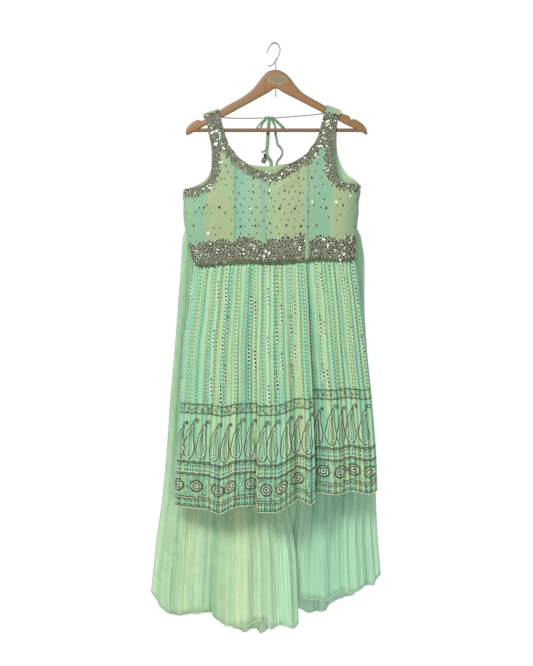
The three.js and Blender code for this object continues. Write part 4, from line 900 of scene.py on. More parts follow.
# the skirt without gathers: half an ellipse's bend between its edges, from waist seam to hem
def skirtSmooth(across, down, side):
    waistX = mix(waistLeft, waistRight, across)
    waistZ = read(waistSeam, "z", waistX) - 0.1
    hemZ = read(frontHem, "z", across) if side < 0 else mix(kurtaHemLeft, kurtaHemRight, across)
    z = mix(waistZ, hemZ, down)
    left, right = read(skirtEdges, "left", z), read(skirtEdges, "right", z)
    seam = read(skirtEdges, "side", z) + side * 0.1
    depth = read(skirtEdges, "front" if side < 0 else "back", z)
    bend = np.sqrt(np.maximum(0, 1 - (2 * across - 1) ** 2)) ** 0.8
    return np.stack([mix(left, right, across), seam + (depth - seam) * bend, z], axis=-1)


# normals of a smooth surface, by a small step either way along it
def surfaceNormals(place, u, v, side):
    step = 2e-4
    du = place(np.minimum(1, u + step), v) - place(np.maximum(0, u - step), v)
    dv = place(u, np.minimum(1, v + step)) - place(u, np.maximum(0, v - step))
    return unit(np.cross(du, dv)) * (-1 if side < 0 else 1)


skirtParts = {
    "skirt_front_left": {"side": -1, "from": 0, "to": 0.6897, "wide": 400, "tall": 46, "count": 40, "depth": 7.4,
                         "folds": frontFolds},
    "skirt_front_right": {"side": -1, "from": 0.6903, "to": 1, "wide": 180, "tall": 46, "count": 40, "depth": 7.4,
                          "folds": frontFolds},
    "skirt_back": {"side": 1, "from": 0, "to": 1, "wide": 270, "tall": 32, "count": 26, "depth": 5.6,
                   "folds": backFolds},
}


# the skirt with its gathers and folds: the smooth surface moved along its normals by both heights
def skirtCloth3d(part, across, down):
    side = part["side"]
    base = skirtSmooth(across, down, side)
    normals = surfaceNormals(lambda u, v: skirtSmooth(u, v, side), across, down, side)
    lift = (gatherLift(across, down, part["count"], part["from"], part["to"], part["depth"])
            + foldLift(part["folds"], across, down))
    return base + normals * lift[..., None], normals


# the cloth's own point and facing at a place across the whole front and down it, raised a little
def onSkirt(across, down, lift=0.4):
    across, down = np.broadcast_arrays(np.asarray(across, float), np.asarray(down, float))
    places, normals = np.empty(across.shape + (3,)), np.empty(across.shape + (3,))
    for name in ("skirt_front_left", "skirt_front_right"):
        part = skirtParts[name]
        mine = (across <= skirtSplit) if part["from"] == 0 else (across > skirtSplit)
        if not mine.any():
            continue
        a, d = across[mine], down[mine]
        p, n = skirtCloth3d(part, a, d)
        step = 5e-4
        pa, _ = skirtCloth3d(part, np.clip(a + step, part["from"], part["to"]), d)
        pb, _ = skirtCloth3d(part, np.clip(a - step, part["from"], part["to"]), d)
        pc, _ = skirtCloth3d(part, a, np.minimum(1, d + step))
        pd, _ = skirtCloth3d(part, a, np.maximum(0, d - step))
        true = unit(np.cross(pa - pb, pc - pd)) * -1
        true = unit(true * np.sign((true * n).sum(-1, keepdims=True)))
        places[mine], normals[mine] = p + true * lift, true
    return places, normals


# the skirt's parts, with the flat width worked out from the area
def makeSkirt():
    for name, part in skirtParts.items():
        across, down = np.meshgrid(np.linspace(part["from"], part["to"], part["wide"]), np.linspace(0, 1, part["tall"]),
                                   indexing="ij")
        points, normals = skirtCloth3d(part, across, down)
        uv = np.stack([across * 700, down * 590], axis=-1)
        piece = clothShell(name + "_cloth", points, normals, 0.9, skirtCloth, uv)
        dress(piece, "georgette", name)
        area = gridArea(points)
        length = skirtFrontLength if part["side"] < 0 else skirtBackLength
        width = area / length
        print(name, "cut", round(width, 3), "x", length)


makeSkirt()
print("skirt ready")


# Palazzo
palazzoEdges = table("z left right", [
    (-434, -181, 178), (-447.5, -206, 199), (-459.7, -225, 212), (-481.8, -228.9, 217.3), (-535.7, -231.8, 224.2),
    (-628.8, -239.2, 224.2), (-756.2, -248.7, 231), (-864, -258.5, 241.3), (-1001.2, -268.3, 251.1),
    (-1131, -280.5, 253.6), (-1216.8, -292.8, 257.4), (-1290.3, -300.9, 263.5), (-1354, -307.5, 268)])
innerEdges = table("z leftX leftY rightX rightY closed", [
    (-434, -1, 0, -0.6, 0, 0), (-660, -1, 0, -0.6, 0, 0), (-780, -1, 0, -0.6, 3, 1), (-920, -3, -1, 1.4, 20, 1),
    (-1120, 30, -2, -34, 31, 1), (-1260, 54, -20, -62, 29, 1), (-1430, 60, -28, -76, 26, 1)])
palazzoDepth = table("z middle half", [
    (-405, 43, 12), (-434, 43, 12), (-480, 48, 15), (-740, 52, 17), (-1000, 56, 18), (-1250, 56, 22), (-1430, 56, 24)])
palazzoHems = {
    "left_front": table("across z", [
        (0, -1354), (0.06, -1382), (0.12, -1400), (0.22, -1407.9), (0.3, -1398.8), (0.41, -1397), (0.43, -1409),
        (0.51, -1428.2), (0.66, -1426.3), (0.72, -1416.2), (0.78, -1416.5), (0.81, -1434.4), (0.88, -1427.5),
        (0.97, -1436.3), (1, -1426.5)]),
    "left_back": table("across z", [
        (0, -1354.3), (0.07, -1378.5), (0.22, -1409.1), (0.28, -1414), (0.4, -1407.9), (0.51, -1433.4),
        (0.63, -1454.4), (0.71, -1446.6), (0.74, -1457.9), (0.81, -1440.5), (0.91, -1429), (1, -1426.8)]),
    "right_front": table("across z", [
        (0, -1395), (0.41, -1366.2), (0.46, -1371.1), (0.52, -1368.7), (0.57, -1374.1), (0.62, -1366.2),
        (0.72, -1346.6), (0.76, -1351.1), (0.855, -1342.5), (0.87, -1335.9), (0.935, -1335.9), (0.97, -1320.4),
        (1, -1309.9)]),
    "right_back": table("across z", [
        (0, -1395.3), (0.4, -1405.4), (0.48, -1416.7), (0.54, -1411.3), (0.59, -1410.3), (0.62, -1392.7),
        (0.72, -1375.1), (0.8, -1366.2), (0.82, -1351.1), (0.9, -1339.3), (1, -1310.2)]),
}
palazzoFolds = {
    "left_front": [
        (0.07, 0.19, 11, 0.05, 0.04, 0.5), (0.27, 0.405, 13, 0.05, 0.01, 0.7), (0.44, 0.505, -3, 0.03, 0.01, 0.6),
        (0.51, 0.67, 15, 0.01, 0.06, 0.6), (0.73, 0.765, -3, 0.02, 0.01, 0.6), (0.77, 0.85, 12, 0.01, 0.03, 0.6),
        (0.885, 0.965, 11, 0.01, 0.02, 0.6)],
    "right_front": [(0.12, 0.3, 12, 0.015, 0.05, 0.6), (0.36, 0.42, 8, 0.012, 0.03, 0.6),
                    (0.47, 0.6, 13, 0.012, 0.04, 0.6),
                    (0.72, 0.85, 13, 0.01, 0.05, 0.6)],
    "left_back": [(0.15, 0.3, 6, 0.06, 0.06, 0.4), (0.42, 0.5, 8, 0.02, 0.03, 0.6), (0.56, 0.62, 9, 0.02, 0.02, 0.6),
                  (0.66, 0.73, 11, 0.02, 0.02, 0.6), (0.8, 0.86, 8, 0.02, 0.03, 0.6)],
    "right_back": [(0.1, 0.2, 7, 0.03, 0.03, 0.5), (0.3, 0.4, 9, 0.03, 0.03, 0.5), (0.46, 0.54, 9, 0.02, 0.02, 0.5),
                   (0.68, 0.84, 6, 0.06, 0.06, 0.4)],
}


# a leg without crinkle: an oval between outer edge and inner edge, closing where the legs part
def legSmooth(leg, side, across, down, hem):
    z = mix(-435.1, hem, down)
    innerX, innerY, closed = (read(innerEdges, c, z) for c in (leg + "X", leg + "Y", "closed"))
    share = across if leg == "left" else 1 - across
    x = mix(read(palazzoEdges, leg, z), innerX, share)
    middle = read(palazzoDepth, "middle", z) + innerY * ease(share / 0.85)
    closing = 1 - closed * (1 - turn((1 - share) / 0.35))
    half = read(palazzoDepth, "half", z) * turn(share / 0.4) * closing
    return np.stack([x, middle + side * (half + 0.1), z], axis=-1)


# crushed pleats: broad waves, finer ones that drift on their way down the cloth, a third set finer still, and
# the folds, all fading out at both edges
crushed = {"broad": 5.2, "broadCount": 14, "fine": 1.7, "fineCount": 60, "finer": 0.6, "finerCount": 131}


def crinkle(name, across, down, side):
    edge = ease(across / 0.06) * ease((1 - across) / 0.06)
    wave = np.cos(2 * math.pi * (crushed["broadCount"] * across + 0.3 * np.sin(7 * across) + 0.12 * np.sin(5 * down)))
    broad = (crushed["broad"] * (0.7 + 0.3 * np.sin(11 * across + side)) * np.sign(wave) * np.abs(wave) ** 0.7
             * mix(0.3, 1, ease(down * 1.4)))
    drift = across * crushed["fineCount"] + 0.9 * np.sin(3.1 * down + 9 * across) + 0.5 * np.sin(8 * down + 23 * across)
    fine = crushed["fine"] * np.sin(2 * math.pi * drift) * (0.6 + 0.4 * np.sin(17 * across + 5 * down))
    finerDrift = across * crushed["finerCount"] + 0.7 * np.sin(6 * down + 31 * across)
    finer = crushed["finer"] * np.sin(2 * math.pi * finerDrift)
    return edge * (0.85 * broad + fine + finer + foldLift(palazzoFolds[name], across, down))


# one side of a leg: smooth surface plus crinkle; returns its hem for the rolled edge
def makeLeg(leg, side):
    name = leg + ("_front" if side < 0 else "_back")
    wide, tall = (290, 56) if side < 0 else (170, 44)
    across, down = np.meshgrid(np.linspace(0, 1, wide), np.linspace(0, 1, tall), indexing="ij")
    place = lambda u, v: legSmooth(leg, side, u, v, read(palazzoHems[name], "z", u))
    smooth = place(across, down)
    normals = surfaceNormals(place, across, down, side)
    points = smooth + normals * crinkle(name, across, down, side)[..., None]
    uv = np.stack([across * 420 + (500 if leg == "right" else 0), down * 960], axis=-1)
    piece = clothShell(f"palazzo_{name}_cloth", points, normals, 0.7, palazzoCloth, uv)
    dress(piece, "sheer", f"palazzo_{name}")
    hemPath = points[:, -1] - normals[:, -1] * 0.3
    makeLiningFor(name, leg, smooth, normals)
    return hemPath, normals[:, -1]


liningHems = {
    "left": table("across z", [(0, -1320), (0.15, -1346), (0.4, -1363), (0.62, -1343), (0.8, -1361), (1, -1355)]),
    "right": table("across z", [(0, -1335), (0.5, -1320), (1, -1275)]),
}


# the lining: the leg's own smooth points moved in, cut at its own shorter hem
def makeLiningFor(name, leg, smooth, normals):
    moved = (smooth - normals * 9)[::8]
    across = np.linspace(0, 1, smooth.shape[0])[::8]
    hem = read(liningHems[leg], "z", across)
    share = np.linspace(0.02, 1, 50)
    top = moved[:, 0, 2]
    wanted = top[:, None] + (hem - top)[:, None] * share[None]
    grid = np.empty((len(across), 50, 3))
    for i in range(len(across)):
        order = moved[i, ::-1]
        for k in range(3):
            grid[i, :, k] = np.interp(wanted[i], order[:, 2], order[:, k])
    facing = gridNormals(grid, -1 if "front" in name else 1)
    piece = clothShell(f"lining_{name}_cloth", grid, facing, 0.6, liningCloth,
                       np.stack(np.meshgrid(across * 240, share * 900, indexing="ij"), -1))
    dress(piece, "lining", f"lining_{name}")


# the elastic waistband: one closed loop of wall with small gathers
waistband = {"x": -1.5, "y": 43, "halfWide": 178, "halfDeep": 11.5, "gathers": 70, "columns": 336}


def makeWaistband():
    columns = waistband["columns"]
    angle = circle(columns)
    profile = [(0, -435), (0.5, -431), (0.9, -420), (0.6, -409), (0, -406), (-1.6, -406), (-1.6, -435)]
    rings = []
    for out, z in profile:
        gather = (0.8 * np.cos(angle * waistband["gathers"]) * (1 if out > -1 else 0.6)
                  * (0.5 if z in (-435, -406) else 1))
        curve = np.abs(np.sin(angle)) ** 0.6 * np.sign(np.sin(angle))
        x = waistband["x"] + (waistband["halfWide"] + out) * np.cos(angle)
        y = waistband["y"] + (waistband["halfDeep"] + out) * curve + gather * np.sin(angle)
        rings.append(np.stack([x, y, np.full(columns, float(z))], axis=-1))
    points = np.array(rings)
    count = len(profile)
    k, i = np.meshgrid(np.arange(count), np.arange(columns), indexing="ij")
    a = (k * columns + i).ravel()
    b = (k * columns + (i + 1) % columns).ravel()
    c = (((k + 1) % count) * columns + (i + 1) % columns).ravel()
    d = (((k + 1) % count) * columns + i).ravel()
    uv = np.stack(np.broadcast_arrays(angle * waistband["halfWide"], np.arange(count)[:, None] * 8), axis=-1)
    piece = makeMesh("palazzo_waistband_cloth", points, np.stack([a, b, c, d], 1), palazzoCloth, uv)
    dress(piece, "sheer", "palazzo_waistband")


makeWaistband()
hemPaths = [makeLeg(leg, side) for leg in ("left", "right") for side in (-1, 1)]
hemPiece = makeThreads("palazzo_rolled_hems", hemPaths, 1.6, 0.8, paleThread)
print("palazzo ready")


# hanger loops of ribbon: a flat section swept up from the waistband, over the back neck edge and round the bar
def makeHangerLoops():
    for name, barX, bandX, neckZ in (("hanger_loop_left", -128, -160, -246), ("hanger_loop_right", 116, 150, -240)):
        reach = 5.9
        bar = [[barX, reach * math.cos(math.radians(a)), barHeight + reach * math.sin(math.radians(a))]
               for a in (290, 250, 215, 180, 145, 110, 75, 40, 10)]
        route = [[bandX, 36.3, -405.6], [mix(bandX, barX, 0.4), 27, -340], [mix(bandX, barX, 0.8), 21.5, -290],
                 [barX, 17.5, neckZ - 14], [barX, 13, neckZ + 6], [barX, 8, -229.8], *bar, [barX, 9, -221.8],
                 [barX, 16, neckZ + 8], [barX, 20.5, neckZ - 10], [mix(bandX, barX, 0.8), 24.5, -288],
                 [mix(bandX, barX, 0.4), 30, -338], [bandX, 38, -405.6]]
        path = smoothPath(route, 160)
        along = unit(np.gradient(path, axis=0))
        sides = np.tile([1.0, 0, 0], (len(path), 1))
        lifts = unit(np.cross(sides, along))
        outline = np.array([[-2.5, -0.35], [2.5, -0.35], [2.5, 0.35], [-2.5, 0.35]])
        verts, faces = sweep(path, sides, lifts, outline)
        piece = makeMesh(name + "_ribbon", verts, faces, ribbonLook, smooth=False)
        dress(piece, "sheer", name)


ribbonLook = makeThreadLook("satinRibbon", srgb(186, 212, 178), srgb(166, 198, 162))
makeHangerLoops()
print("hanger loops ready")


# Beadwork

# a value grid read between its points, s along it and t across it, both from 0 to 1
def sampleGrid(grid, s, t):
    columns, rows = grid.shape[:2]
    a, b = clamp(s) * (columns - 1), clamp(t) * (rows - 1)
    i, j = np.minimum(a.astype(int), columns - 2), np.minimum(b.astype(int), rows - 2)
    a, b = (a - i)[..., None], (b - j)[..., None]
    return (grid[i, j] * (1 - a) * (1 - b) + grid[i + 1, j] * a * (1 - b) + grid[i, j + 1] * (1 - a) * b
            + grid[i + 1, j + 1] * a * b)


# places on a band: rows of a lattice along and across it, every other row shifted, each place moved a little
def lattice(length, width, pitchAlong, pitchAcross, jitter, margin=0.0):
    countAlong, countAcross = max(2, round(length / pitchAlong)), max(1, round((width - 2 * margin) / pitchAcross))
    i, j = np.meshgrid(np.arange(countAlong), np.arange(countAcross), indexing="ij")
    s = (i + 0.5 + 0.5 * (j % 2) - 0.25) / countAlong
    t = (margin + (j + 0.5) * (width - 2 * margin) / countAcross) / width
    s = s + random.normal(0, jitter / length, s.shape)
    t = t + random.normal(0, jitter / width, t.shape)
    return clamp(s.ravel()), np.clip(t.ravel(), 0.02, 0.98)


beadBands = {
    "seeds": {"along": 3.2, "across": 3.1, "jitter": 0.8, "lift": 0.8, "share": 1.0, "margin": 0.0},
    "mirrors": {"along": 8.6, "across": 7.6, "jitter": 0.9, "lift": 1.5, "share": 0.9, "margin": 1.5},
    "whites": {"along": 27, "across": 13, "jitter": 5.0, "lift": 2.2, "share": 0.6, "margin": 2.0},
}
beadPlaces = {kind: [] for kind in beadBands}
bandEdges = []


# one band: its stitched ground, with places for beads gathered for the joined meshes
def makeBand(name, points, normals, replaced, rimmed=(True, False), mirrors=1.0):
    along = np.linalg.norm(np.diff(points.mean(1), axis=0), axis=1).sum()
    width = np.linalg.norm(np.diff(points, axis=1), axis=-1).sum(1).mean()
    piece = clothShell(name, points + normals * 0.55, normals, 0.5, beadGround)
    dress(piece, "beadwork", *replaced)
    for kind, found in beadPlaces.items():
        spec = beadBands[kind]
        s, t = lattice(along, width, spec["along"], spec["across"], spec["jitter"], spec["margin"])
        share = random.random(len(s)) < spec["share"] * (mirrors if kind == "mirrors" else 1)
        s, t = s[share], t[share]
        facing = unit(sampleGrid(normals, s, t))
        places = sampleGrid(points, s, t) + facing * spec["lift"]
        found.append((places, facing))
    for wanted, side in zip(rimmed, (0, -1)):
        if wanted:
            bandEdges.append((points[:, side] + normals[:, side] * 0.7, normals[:, side]))
    return points, normals


# mirrors sewn loosely past a band's inner edge, so that the edge is ragged
def addStrays(points, normals, pitch, reach):
    length = np.linalg.norm(np.diff(points[:, -1], axis=0), axis=1).sum()
    s = (np.arange(int(length / pitch)) + random.uniform(0.2, 0.8, int(length / pitch))) * pitch / length
    edge = sampleGrid(points[:, [-1, -1]], s, np.zeros(len(s)))
    inner = sampleGrid(points[:, [-2, -2]], s, np.zeros(len(s)))
    facing = unit(sampleGrid(normals[:, [-1, -1]], s, np.zeros(len(s))))
    beadPlaces["mirrors"].append((edge + unit(edge - inner) * random.uniform(0.3, reach, len(s))[:, None] + facing,
                                  facing))


# a band that follows an edge in the front view: the edge moved in by each width, then set on the bodice
def edgeBand(edge, width, steps, count, inward):
    edge = np.asarray(edge, float)
    length = lengthAlong(edge)
    even = np.linspace(0, length[-1], count)
    path = np.stack([np.interp(even, length, edge[:, k]) for k in range(2)], axis=1)
    along = np.gradient(path, axis=0)
    kernel = np.ones(5) / 5
    along = np.stack([np.convolve(np.pad(along[:, k], 2, mode="edge"), kernel, mode="valid") for k in range(2)], axis=1)
    along = unit(along)
    away = np.stack([-along[:, 1], along[:, 0]], axis=1) * inward
    reach = np.linspace(0.4, width, steps)
    x = path[:, None, 0] + away[:, None, 0] * reach
    z = path[:, None, 1] + away[:, None, 1] * reach
    places, normals, _ = onBodice(x, z)
    return places.reshape(count, steps, 3), unit(normals.reshape(count, steps, 3))


# normals averaged with their neighbours, each counted twice, along and then across
def smoothNormals(normals, times=2):
    for _ in range(times):
        normals = normals.copy()
        normals[1:-1] = (normals[:-2] + 2 * normals[1:-1] + normals[2:]) / 4
        normals[:, 1:-1] = (normals[:, :-2] + 2 * normals[:, 1:-1] + normals[:, 2:]) / 4
        normals = unit(normals)
    return normals


# a side panel's outer or inner edge in the front view
def panelEdge(name, column, fromRow, toRow, count=60):
    rows = sidePanels[name]["rows"]
    at = np.linspace(fromRow, toRow, count)
    return np.stack([read(rows, column + "X", at), read(rows, column + "Z", at)], axis=1)


# clusters of bright sequins: place in the front view and how many
brightSpots = [
    (-150, -213, 4), (-135, -229, 4), (-144, -245, 3), (-124, -257, 3), (-138, -297, 2), (-169, -356, 2),
    (-157, -354, 2), (132, -198, 6), (111, -257, 4), (122, -236, 3), (99, -278, 3), (131, -312, 2), (37, -309, 3),
    (15, -326, 4), (-16, -334, 3), (-52, -492, 3), (-24, -520, 3), (-15, -508, 2), (119, -484, 3), (187, -488, 3),
    (162, -520, 3), (-83, -511, 2), (60, -505, 2)]


waistTop = table("x z", [
    (-222, -490), (-212, -489), (-190, -497), (-172, -489), (-146, -489), (-129, -484), (-104, -490), (-82, -478),
    (-53, -480), (-40, -489), (-23, -492), (-11, -483), (6, -486), (23, -478), (45, -482), (65, -471), (72, -477),
    (84, -487), (94, -482), (111, -474), (129, -479), (143, -480), (156, -487), (173, -480), (190, -472), (210, -482)])


# the bands of beads: waist, neck, armholes and straps, then the joined beads
def makeBeadwork():
    # waist: peaked upper edge, and the gap where the right front seam runs through
    for name, replaced, first, last, wide in (
            ("waist_beadwork_left_band", ["waist_beadwork_left", "waist_beadwork_centre"], (-196.3, -208.5),
             (73.2, 73.2), 230),
            ("waist_beadwork_right_band", ["waist_beadwork_right"], (84, 84), (196.8, 200.5), 110)):
        s, t = np.linspace(0, 1, wide)[:, None], np.linspace(0, 1, 14)[None]
        x = mix(mix(*first, t), mix(*last, t), s)
        places, normals, _ = onBodice(x, mix(read(waistSeam, "z", x) + 1, read(waistTop, "z", x) - 2, t))
        places, normals = places.reshape(wide, 14, 3), smoothNormals(normals.reshape(wide, 14, 3))
        addStrays(*makeBand(name, places, normals, replaced, (False, False)), 7.4, 5.5)
    # neck
    fine = np.linspace(-95.3, 83.5, 160)
    edge = np.vstack([panelEdge("bodice_front_left", "in", 10, 9, 20),
                      np.stack([fine, read(neckEdge, "z", fine)], axis=1),
                      panelEdge("bodice_front_right", "in", 9, 10, 20)])
    places, normals = edgeBand(edge, 17, 9, 220, -1)
    band = makeBand("neck_beadwork_band", places, smoothNormals(normals),
                    ["neck_beadwork_centre", "neck_beadwork_left", "neck_beadwork_right"], mirrors=0.75)
    addStrays(*band, 7.5, 6)
    # armholes
    for side, inward in (("left", -1), ("right", 1)):
        places, normals = edgeBand(panelEdge(f"bodice_front_{side}", "out", 4.12, 10, 90), 14.5, 8, 110, inward)
        band = makeBand(f"armhole_beadwork_{side}_band", places, smoothNormals(normals), [f"armhole_beadwork_{side}"],
                        mirrors=0.9)
        addStrays(*band, 8, 5)
    # straps
    for side, top in (("left", 13.8), ("right", 12.4)):
        across, row = np.meshgrid(np.linspace(0.012, 0.988, 14), np.linspace(9.8, top, 60), indexing="ij")
        points = sidePlace(sidePanels[f"bodice_front_{side}"], across, row)
        normals = gridNormals(points, -1)
        makeBand(f"strap_beadwork_{side}_band", points.transpose(1, 0, 2), normals.transpose(1, 0, 2),
                 [f"strap_beadwork_{side}"], (True, True), 0.8)
    # the joined beads
    places, normals = (np.concatenate(part) for part in zip(*beadPlaces["seeds"]))
    order = random.permutation(len(places))
    half = len(places) // 2
    for name, part, stretch in (("beadwork_seed_beads", order[:half], 1.0),
                                ("beadwork_bugle_beads", order[half:], 1.7)):
        grown = random.uniform(2.1, 3.2, len(part))
        piece = scatter(name, beadShape(4), places[part], normals[part], random.uniform(0, math.pi, len(part)),
                        grown[:, None] * [0.8, stretch, 0.8], silverBeads)
    places, normals = (np.concatenate(part) for part in zip(*beadPlaces["mirrors"]))
    count = len(places)
    grown = random.uniform(6.0, 8.4, count)
    spins = random.choice([-0.7, 0.7, 0.0, 0.2], count) + random.normal(0, 0.15, count)
    scatter("beadwork_bezels", discShape(4, 0.35), places, normals, spins, grown[:, None] * [1.02, 1.3, 0.32],
                    paleBezels)
    scatter("beadwork_dark_mirrors", discShape(4, 0.45), places + normals * 0.75, normals, spins,
                    grown[:, None] * [0.74, 0.98, 0.3], darkMirrors)
    places, normals = (np.concatenate(part) for part in zip(*beadPlaces["whites"]))
    spots = np.repeat(np.array(brightSpots, float), [spot[2] for spot in brightSpots], axis=0)
    x, z = spots[:, 0] + random.normal(0, 5.2, len(spots)), spots[:, 1] + random.normal(0, 5.2, len(spots))
    spotPlaces, spotNormals, _ = onBodice(x, z, 2.6)
    grown = np.concatenate([random.uniform(3.2, 4.6, len(places)), random.uniform(4.0, 6.4, len(spots))])
    places, normals = np.concatenate([places, spotPlaces]), np.concatenate([normals, spotNormals])
    scatter("beadwork_bright_sequins", discShape(7, 0.25), places, normals, random.uniform(0, 6, len(places)),
                    grown[:, None] * [0.85, 1.1, 0.4], whiteSequins)
    makeThreads("beadwork_edge_cord", bandEdges, 1.9, 1.4, copperThread)


makeBeadwork()


# drops and dots sewn over the bodice: rows of large drops, small dots in offset rows between them, a few bright ones
def makeBodiceSequins():
    i, j = np.meshgrid(np.arange(23), np.arange(15), indexing="ij")
    x = (-212 + i * 19.5 + (j % 2) * 9.7).ravel() + random.normal(0, 2.6, i.size)
    z = (-486 + j * 17.0).ravel() + random.normal(0, 2.6, i.size)
    large = np.zeros(len(x), bool)
    for rowZ, firstX in ((-448, -10), (-405, 13), (-368, -50), (-334, 55), (-300, -118)):
        rowX = firstX + 37 * np.arange(-6, 7) + random.normal(0, 2, 13)
        x, z = np.concatenate([x, rowX]), np.concatenate([z, rowZ + random.normal(0, 2.5, 13)])
        large = np.concatenate([large, np.full(13, True)])
    places, normals, gap = onBodice(x, z, 0.6)
    kept = (gap < 1.5) & (z < np.interp(x, neckEdge["x"], neckEdge["z"], left=-180, right=-180) - 24) & (z < -262)
    for name in ("left", "right"):
        for column, first, last, reach in (("out", 4, 10, 19), ("in", 9, 12, 24)):
            edge = panelEdge(f"bodice_front_{name}", column, first, last)
            kept &= np.hypot(x[:, None] - edge[None, :, 0], z[:, None] - edge[None, :, 1]).min(1) > reach
    near = np.hypot(x[:, None] - x[None, large], z[:, None] - z[None, large]).min(1)
    kept &= large | (near > 8)
    places, normals, large = places[kept], normals[kept], large[kept]
    count = len(places)
    grown = np.where(large, random.uniform(6.4, 8.2, count), random.uniform(4.0, 5.2, count))
    scatter("bodice_drop_bezels", discShape(6, 0.3), places, normals, np.zeros(count),
                    grown[:, None] * [0.86, 1.22, 0.22], paleBezels)
    scatter("bodice_drop_sequins", discShape(6, 0.4), places + normals * 0.5, normals,
                    random.normal(0, 0.2, count), grown[:, None] * [0.68, 1.04, 0.26], darkMirrors)
    x, z = np.array([-10, -59, -161, 184, 150, 92]), np.array([-364, -406, -467, -376, -392, -392])
    places, normals, _ = onBodice(x, z, 0.8)
    scatter("bodice_bright_sequins", discShape(8, 0.25), places, normals, np.zeros(6),
                    np.tile([5.2, 7.4, 1.8], (6, 1)), whiteSequins)


makeBodiceSequins()
print("beadwork ready")


# the cord along the waist seam: a dark twisted core with beads wound round it
def makeWaistCord():
    t = np.linspace(0.03, 0.97, 48)
    path = skirtSmooth(t, np.zeros_like(t), -1) + [0, -4.1, -2.6]
    piece, line = makeCord("waist_bead_cord_core", path, 2.1, 260, beadGround, 10, near=(0, -1, 0.001))
    line = line / mm
    dress(piece, "beadwork", "waist_bead_cord")
    sides, lifts = pathFrame(line, np.array([0, -1, 0.001]))
    length = np.linalg.norm(np.diff(line, axis=0), axis=1).sum()
    places, normals = [], []
    for strand in (0.0, 2.1, 4.2):
        at = np.linspace(0.002, 0.998, 150)
        turnAngle = at * length / 13 * 2 * math.pi + strand
        index = at * (len(line) - 1)
        centre = np.stack([np.interp(index, np.arange(len(line)), line[:, k]) for k in range(3)], axis=1)
        side = np.stack([np.interp(index, np.arange(len(line)), sides[:, k]) for k in range(3)], axis=1)
        lift = np.stack([np.interp(index, np.arange(len(line)), lifts[:, k]) for k in range(3)], axis=1)
        out = side * np.cos(turnAngle)[:, None] + lift * np.sin(turnAngle)[:, None]
        places.append(centre + out * 2.1)
        normals.append(out)
    places, normals = np.concatenate(places), np.concatenate(normals)
    scatter("waist_bead_cord_beads", beadShape(5), places, normals, np.full(len(places), 0.6),
                    np.tile([2.0, 2.8, 2.0], (len(places), 1)), silverBeads, random.uniform(0, 0.5, len(places)))


makeWaistCord()


# Embroidery on the kurta's skirt

# how far down the skirt a place lies that is so many millimetres above the hem
def downAt(across, up):
    across = clamp(across)
    waistZ = read(waistSeam, "z", mix(waistLeft, waistRight, across))
    hemZ = read(frontHem, "z", across)
    level = np.where(across < skirtSplit, np.interp(across, [0, 0.3, 0.55, skirtSplit], [-1132, -1135, -1131, -1117]),
                     -1098.0)
    z = mix(hemZ, level, 0.55 * ease(up / 240)) + up
    return clamp((waistZ - z) / (waistZ - hemZ))


# places on the skirt at so much across and so many millimetres above the hem
def embroider(across, up, lift=0.35):
    across = np.asarray(across, float)
    return onSkirt(np.clip(across, 0.004, 0.996), downAt(across, np.asarray(up, float)), lift)


# the front's width as seen, the heights of the border's lines above the hem, and the motifs by their share of
# the way across, the paisleys also with how large they are
visibleWidth = 486
frontSpans = (0.004, 0.6885), (0.6915, 0.996)
borderLines = [4, 23, 27.5, 81, 85, 108.5, 112.5, 229, 251]
rosettes = [0.017, 0.109, 0.215, 0.276, 0.375, 0.452, 0.528, 0.603, 0.731, 0.816, 0.881, 0.961]
paisleys = [
    (0.022, 0.5), (0.065, 0.95), (0.125, 0.8), (0.191, 0.7), (0.245, 0.45), (0.302, 1.0), (0.365, 0.75), (0.428, 0.9),
    (0.478, 0.95), (0.546, 0.85), (0.598, 0.6), (0.653, 0.9), (0.712, 0.5), (0.775, 1.0), (0.825, 0.5), (0.876, 0.9),
    (0.942, 0.95)]


# a paisley's outline: a teardrop whose half width swells near its foot, leaning over into a curl at the tip
def paisleyOutline(wide, tall, points=90):
    s = np.concatenate([np.linspace(1, 0, points // 2), np.linspace(0, 0.95, points // 2)[1:]])
    side = np.concatenate([-np.ones(points // 2), np.ones(points // 2 - 1)])
    half = (0.5 * wide * np.sqrt(np.maximum(0, 1 - (1 - clamp(s / 0.3)) ** 2))
            * np.where(s > 0.3, ((1 - s) / 0.7) ** 0.8, 1))
    lean = wide * (0.5 * s ** 3 - 0.12 * s)
    a, b = lean + side * half, s * tall
    turnAngle = np.linspace(-1.5 * math.pi, 1.0 * math.pi, 22)
    radius = np.linspace(0.05, 0.22, 22) * wide
    curlA = lean[0] + 0.2 * wide + radius * np.cos(turnAngle)
    curlB = tall + radius * np.sin(turnAngle)
    return np.concatenate([curlA, a[1:]]), np.concatenate([curlB, b[1:]])


# a thread at one height above the hem, wavering by a sine, in one part for each part of the front; share thins
# its points
def bandLine(up, share, wave=0.8):
    found = []
    for (first, last), count in zip(frontSpans, (330, 150)):
        across = np.linspace(first, last, int(count * share))
        found.append(embroider(across, up + wave * np.sin(across * 160)))
    return found


# many small pieces at places of (share across, millimetres above the hem)
def sewOn(name, shape, found, sizes, look, spins, lift=0.5, tones=None):
    found = np.asarray(found, float)
    places, normals = embroider(found[:, 0], found[:, 1], lift)
    sizes = np.broadcast_to(np.asarray(sizes, float), (len(found), 3))
    scatter(name, shape, places, normals, spins, sizes, look, tones)


